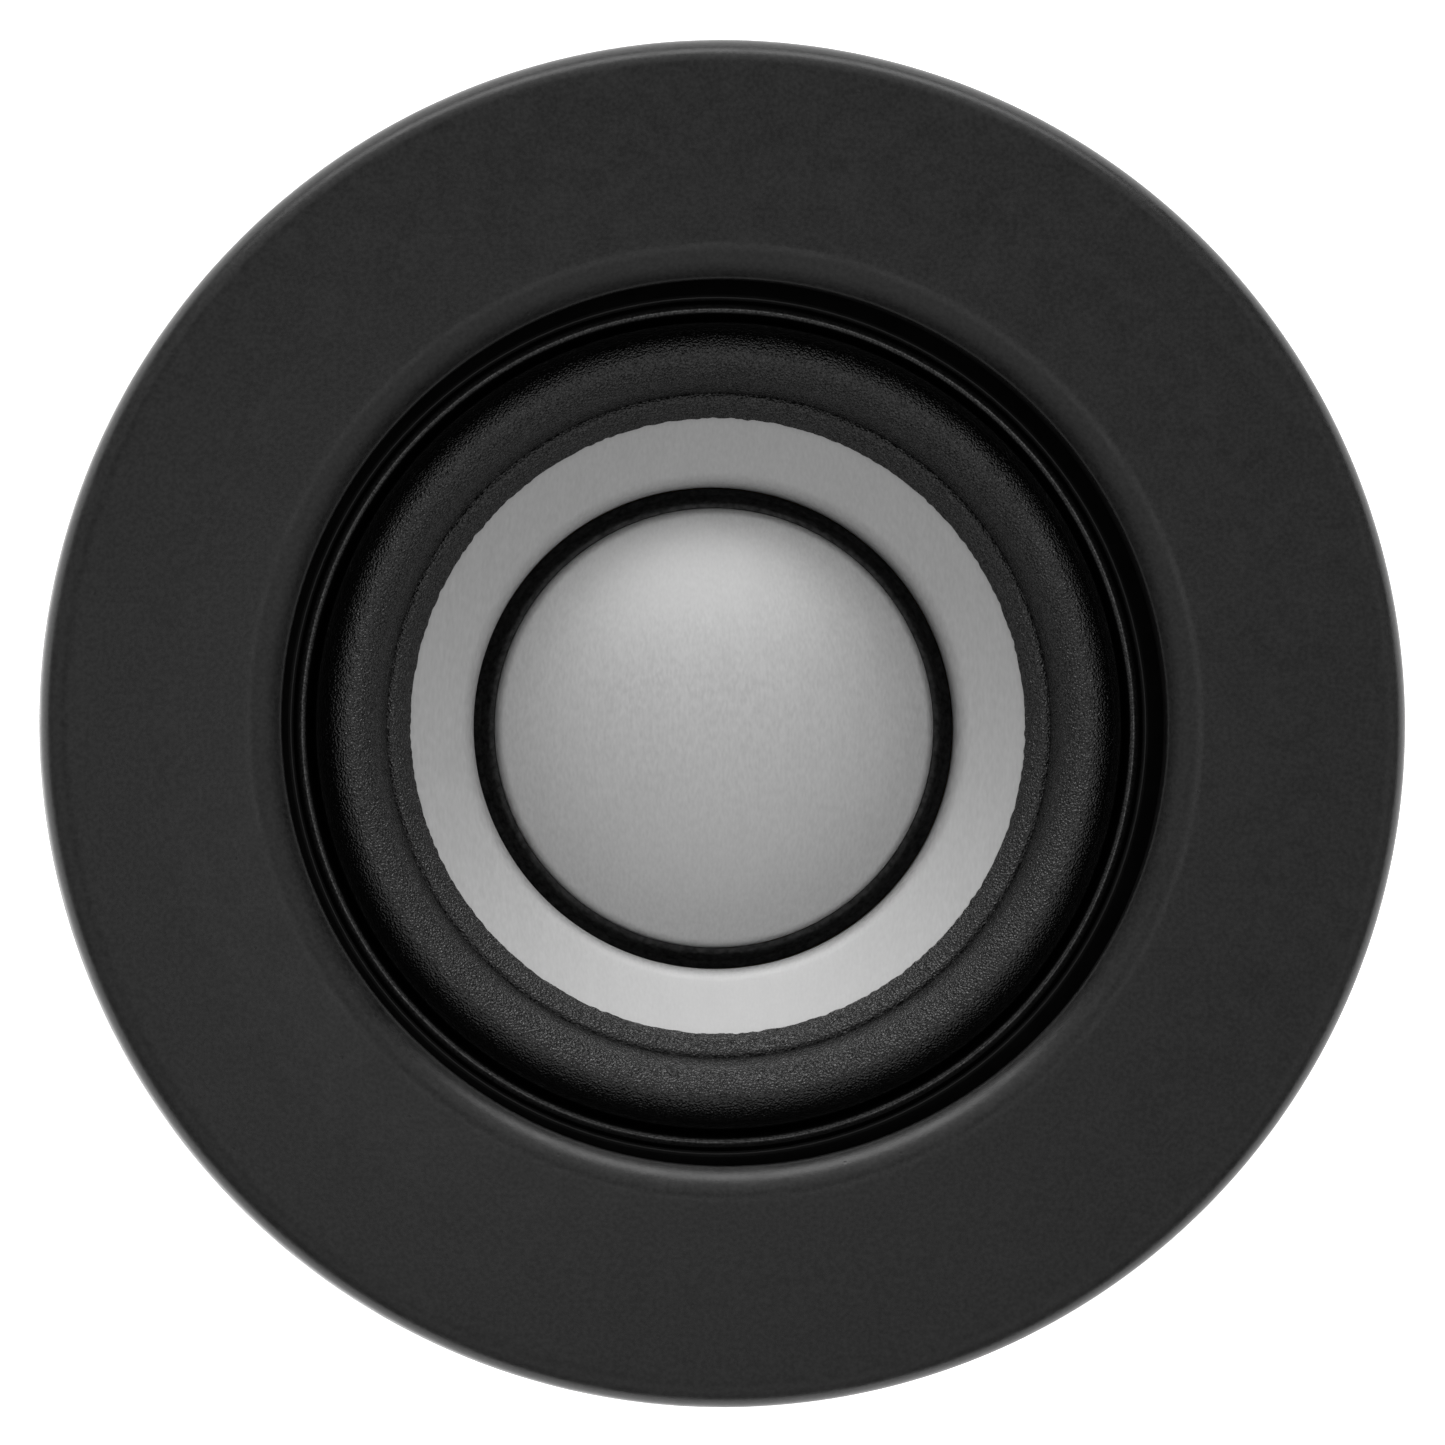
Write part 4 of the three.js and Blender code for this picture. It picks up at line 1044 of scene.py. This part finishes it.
def tinsel_leads():
    end_z = 16.6
    for side, which in ((1, "positive"), (-1, "negative")):
        path = [
            (-9.75, side * 2.75, 15.6), (-12.3, side * 3.9, 15.5), (-15.2, side * 5.1, 16.5),
            (-17.9, side * 5.6, 17.65), (-19.7, side * 4.8, 17.85), (-20.6, side * 4, 17.5),
            (-20.65, side * 3.8, end_z),
        ]
        lead = tube(f"tinsel_{which}", path, 0.34, 42, 160, twisted)
        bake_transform(lead, "diaphragm", "housing", start=(-0.0100, 0, 0), end=(-0.0175, 0, 0))
        dress(lead, "housing", BRAID, [f"tinsel_lead_{which}"])
        joint = (TAB_OUTER + 0.28, side * 3.8, end_z - 0.25)
        blob = solder_blob(f"solder_{which}", joint, (0.42, 0.8, 0.5))
        dress(blob, "housing", SOLDER)


def solder_blob(name, centre, reach):
    """A frozen drop of solder: a rounded lump, fuller at one side."""
    obj = turned(name, [
        (math.sin(a), -math.cos(a) * (1 + 0.15 * math.cos(a))) for a in np.linspace(0, math.pi, 22)
    ], 32, lambda r, z, a: (r * (1 + 0.08 * np.cos(2 * a) + 0.04 * np.sin(3 * a)), z), 80)
    scale = Matrix.Diagonal((*reach, 1))
    obj.data.transform(Matrix.Translation(Vector(centre) * MM) @ scale)
    tidy(obj, 80)
    return obj


def capacitor():
    lowest, highest = low("highpass_capacitor"), high("highpass_capacitor")
    y, z = (lowest.y + highest.y) / 2, (lowest.z + highest.z) / 2
    r = (highest.y - lowest.y) / 2
    start, end = lowest.x, highest.x
    sleeve = rounded([
        (1.75, start + 0.12, 0.1), (2.1, start, 0.15), (r, start + 0.1, 0.35), (r, start + 1.1, 0.3),
        (r - 0.28, start + 1.45, 0.25), (r, start + 1.8, 0.3), (r, end, 0.4), (2.0, end - 0.02, 0.1),
        (2.0, end - 0.5), (1.75, end - 0.5),
    ], 5)
    obj = turned_along_x("capacitor_sleeve_tube", subdivided(sleeve, 0.4), y, z, 96)
    dress(obj, "housing", SLEEVE, ["highpass_capacitor"])
    plug = turned_along_x("capacitor_bung", rounded([
        (0, start + 0.25), (1.7, start + 0.25, 0.1), (1.7, end - 0.6), (0, end - 0.6),
    ], 4), y, z, 64)
    dress(plug, "housing", BOND_RUBBER)
    top = turned_along_x("capacitor_top", rounded([
        (0, end - 0.5), (1.95, end - 0.5), (1.95, end - 0.15, 0.1), (1.6, end - 0.12, 0.05),
        (1.5, end - 0.2, 0.05), (0, end - 0.2),
    ], 4), y, z, 64)
    score = [
        block("score", (end - 0.27, y - 1.3, z - 0.06), (end + 0.2, y + 1.3, z + 0.06)),
        block("score", (end - 0.27, y - 0.06, z - 1.3), (end + 0.2, y + 0.06, z + 1.3)),
    ]
    cut_away(top, score)
    tidy(top)
    dress(top, "housing", CAN_METAL)


def capacitor_adhesive():
    """The adhesive bead, slumped between the capacitor and the basket."""
    lowest, highest = low("capacitor_adhesive"), high("capacitor_adhesive")
    bm = bmesh.new()
    bmesh.ops.create_cube(bm, size=1)
    bmesh.ops.subdivide_edges(bm, edges=bm.edges, cuts=10, use_grid_fill=True)
    size, middle = highest - lowest, (highest + lowest) / 2
    roundness, ripple = 0.55, 0.05
    for v in bm.verts:
        p = Vector(v.co) * 2
        ball = p.normalized() * max(abs(c) for c in p)
        p = p.lerp(ball, roundness)
        p.x += ripple * math.sin(5 * p.y + 3 * p.z)
        p.x = min(1, max(-1, p.x))
        v.co = (middle + Vector((p.x * size.x, p.y * size.y, p.z * size.z)) / 2) * MM
    mesh = bpy.data.meshes.new("adhesive_bead")
    bm.to_mesh(mesh)
    bm.free()
    obj = placed("adhesive_bead", mesh)
    tidy(obj, 80)
    dress(obj, "housing", BOND_RUBBER, ["capacitor_adhesive"])


def capacitor_leads():
    """Two wires from the capacitor's end to the link tag and the wide tab."""
    y, z = 18, 8.8
    edge = 6.5
    tab_x = (TAB_INNER + TAB_OUTER) / 2
    for name, start_z, tab_z in (("in", z - 1, 10.9), ("out", z + 1, 13.3)):
        rise = tab_z - start_z
        path = [
            (-5.3, y, start_z), (-8, y - 0.1, start_z), (-12, y - 2.1, start_z + 0.1 * rise),
            (-15.8, y - 5.3, start_z + 0.4 * rise), (-18.9, y - 8.8, start_z + 0.8 * rise),
            (-20.4, edge + 1.6, tab_z), (tab_x, edge, tab_z),
        ]
        lead = tube(f"capacitor_wire_{name}", path, 0.28, 16, 120)
        dress(lead, "housing", TINNED, [f"capacitor_lead_{name}"])
        blob = solder_blob(f"solder_{name}", (tab_x, edge - 0.1, tab_z), (0.4, 0.5, 0.5))
        dress(blob, "housing", SOLDER)


# ---------------------------------------------------------------- stage, light and camera
def direction(off_axis, side):
    """The unit vector at these degrees off the axis and round it."""
    off_axis, side = math.radians(off_axis), math.radians(side)
    across = math.sin(off_axis)
    return Vector((across * math.cos(side), across * math.sin(side), math.cos(off_axis)))


def floor():
    """A plain pale floor, lit mostly by its own glow, so that it stays even to its far edge."""
    size = 6.0
    mesh = bpy.data.meshes.new("floor")
    corners = [(-size, -size, 0), (size, -size, 0), (size, size, 0), (-size, size, 0)]
    mesh.from_pydata(corners, [], [(0, 1, 2, 3)])
    obj = placed("floor", mesh)
    n = Nodes("floor_paper", Roughness=0.9)
    n.shader.inputs["Emission Color"].default_value = (1, 1, 1, 1)
    n.shader.inputs["Emission Strength"].default_value = 0.78
    n.colour(n.mix(n.noise(12, 2), grey(0.88), grey(0.9)))
    mesh.materials.append(n.material)
    return obj


def area_light(name, off_axis, side, distance, half_wide, half_tall, radiance):
    """A soft box of the given radiance that faces the object; its place and its half sizes are in degrees."""
    towards = direction(off_axis, side)
    data = bpy.data.lights.new(name, "AREA")
    data.shape = "RECTANGLE"
    data.size = 2 * distance * math.tan(math.radians(half_wide))
    data.size_y = 2 * distance * math.tan(math.radians(half_tall))
    data.energy = radiance * math.pi * data.size * data.size_y
    light = placed(name, data)
    light.location = towards * distance + Vector((0, 0, FLANGE_TOP * MM))
    light.rotation_euler = (-towards).to_track_quat("-Z", "Y").to_euler()
    light.visible_camera = False


def soft_surroundings():
    """A world that is a sum of smooth glows, each brightest in its own direction."""
    world = bpy.data.worlds.new("studio")
    bpy.context.scene.world = world
    world.use_nodes = True
    tree = world.node_tree
    looking = tree.nodes.new("ShaderNodeTexCoord").outputs["Generated"]
    total = 0.0
    for towards, power, radiance in (
        ((0, 1, 0), 2, 0.1),
        ((-0.7, 0.7, 0.2), 5, 0.17),
        ((0, -0.7, 0.7), 5, 0.62),
        ((-0.7, 0, 0.7), 5, 0.55),
        ((0.7, 0, 0.7), 5, 0.62),
    ):
        facing = tree.nodes.new("ShaderNodeVectorMath")
        facing.operation = "DOT_PRODUCT"
        facing.inputs[1].default_value = Vector(towards).normalized()
        tree.links.new(looking, facing.inputs[0])
        glow = math_node(tree, "POWER", math_node(tree, "MAXIMUM", facing.outputs["Value"], 0.0), power)
        total = math_node(tree, "ADD", math_node(tree, "MULTIPLY", glow, radiance), total)
    background = tree.nodes["Background"]
    background.inputs["Color"].default_value = (1, 1, 1, 1)
    tree.links.new(total, background.inputs["Strength"])


def lights(floor_obj):
    """A box right in front, brighter ones above it, and a lamp for the floor alone."""
    for name, off_axis, side, distance, half_wide, half_tall, radiance in (
        ("near_front", 0, 90, 0.22, 7, 7, 1.2),
        ("upper", 36, 90, 0.55, 30, 14, 0.6),
        ("upper_wide", 60, 90, 0.55, 40, 20, 0.18),
        ("top", 67, 90, 0.55, 34, 9, 4.1),
        ("top_edge", 80, 90, 0.55, 34, 6, 1.1),
    ):
        area_light(name, off_axis, side, distance, half_wide, half_tall, radiance)
    wash = bpy.data.lights.new("floor_wash", "SUN")
    wash.energy = 1.2
    wash.angle = math.radians(25)
    sun = placed("floor_wash", wash)
    only_floor = bpy.data.collections.new("lit_by_floor_wash")
    only_floor.objects.link(floor_obj)
    sun.light_linking.receiver_collection = only_floor


def camera():
    """Nearly straight on, a little to the left of and below the axis, as seen from the front."""
    data = bpy.data.cameras.new("camera")
    data.lens = 600
    data.sensor_width = 36
    view_width = 2 * FLANGE_R * MM * VIEW_SHARE
    distance = view_width * data.lens / data.sensor_width
    obj = placed("camera", data)
    back = direction(CAMERA_OFF_AXIS, CAMERA_SIDE)
    aim = Vector((AIM_X, AIM_Y, FLANGE_TOP - RIM_ROUND)) * MM
    obj.location = aim + back * distance
    right = Vector((0, 1, 0)).cross(back).normalized()
    up = back.cross(right)
    obj.rotation_mode = "QUATERNION"
    obj.rotation_quaternion = Matrix((right, up, back)).transposed().to_quaternion()
    data.clip_start, data.clip_end = 0.05, 10
    bpy.context.scene.camera = obj


front_flange()
panel_gasket()
clamp_washer()
lock_ring()
surround()
cone()
dome()
dome_bonding_ring()
voice_coil()
spider()
basket()
basket_screws()
yoke_cup()
damping_felt()
dress_hidden_nodes()
flat_pieces()
terminal_rivets()
board_screw()
tinsel_leads()
capacitor()
capacitor_adhesive()
capacitor_leads()
soft_surroundings()
lights(floor())
camera()
bpy.context.scene.view_settings.view_transform = "Standard"
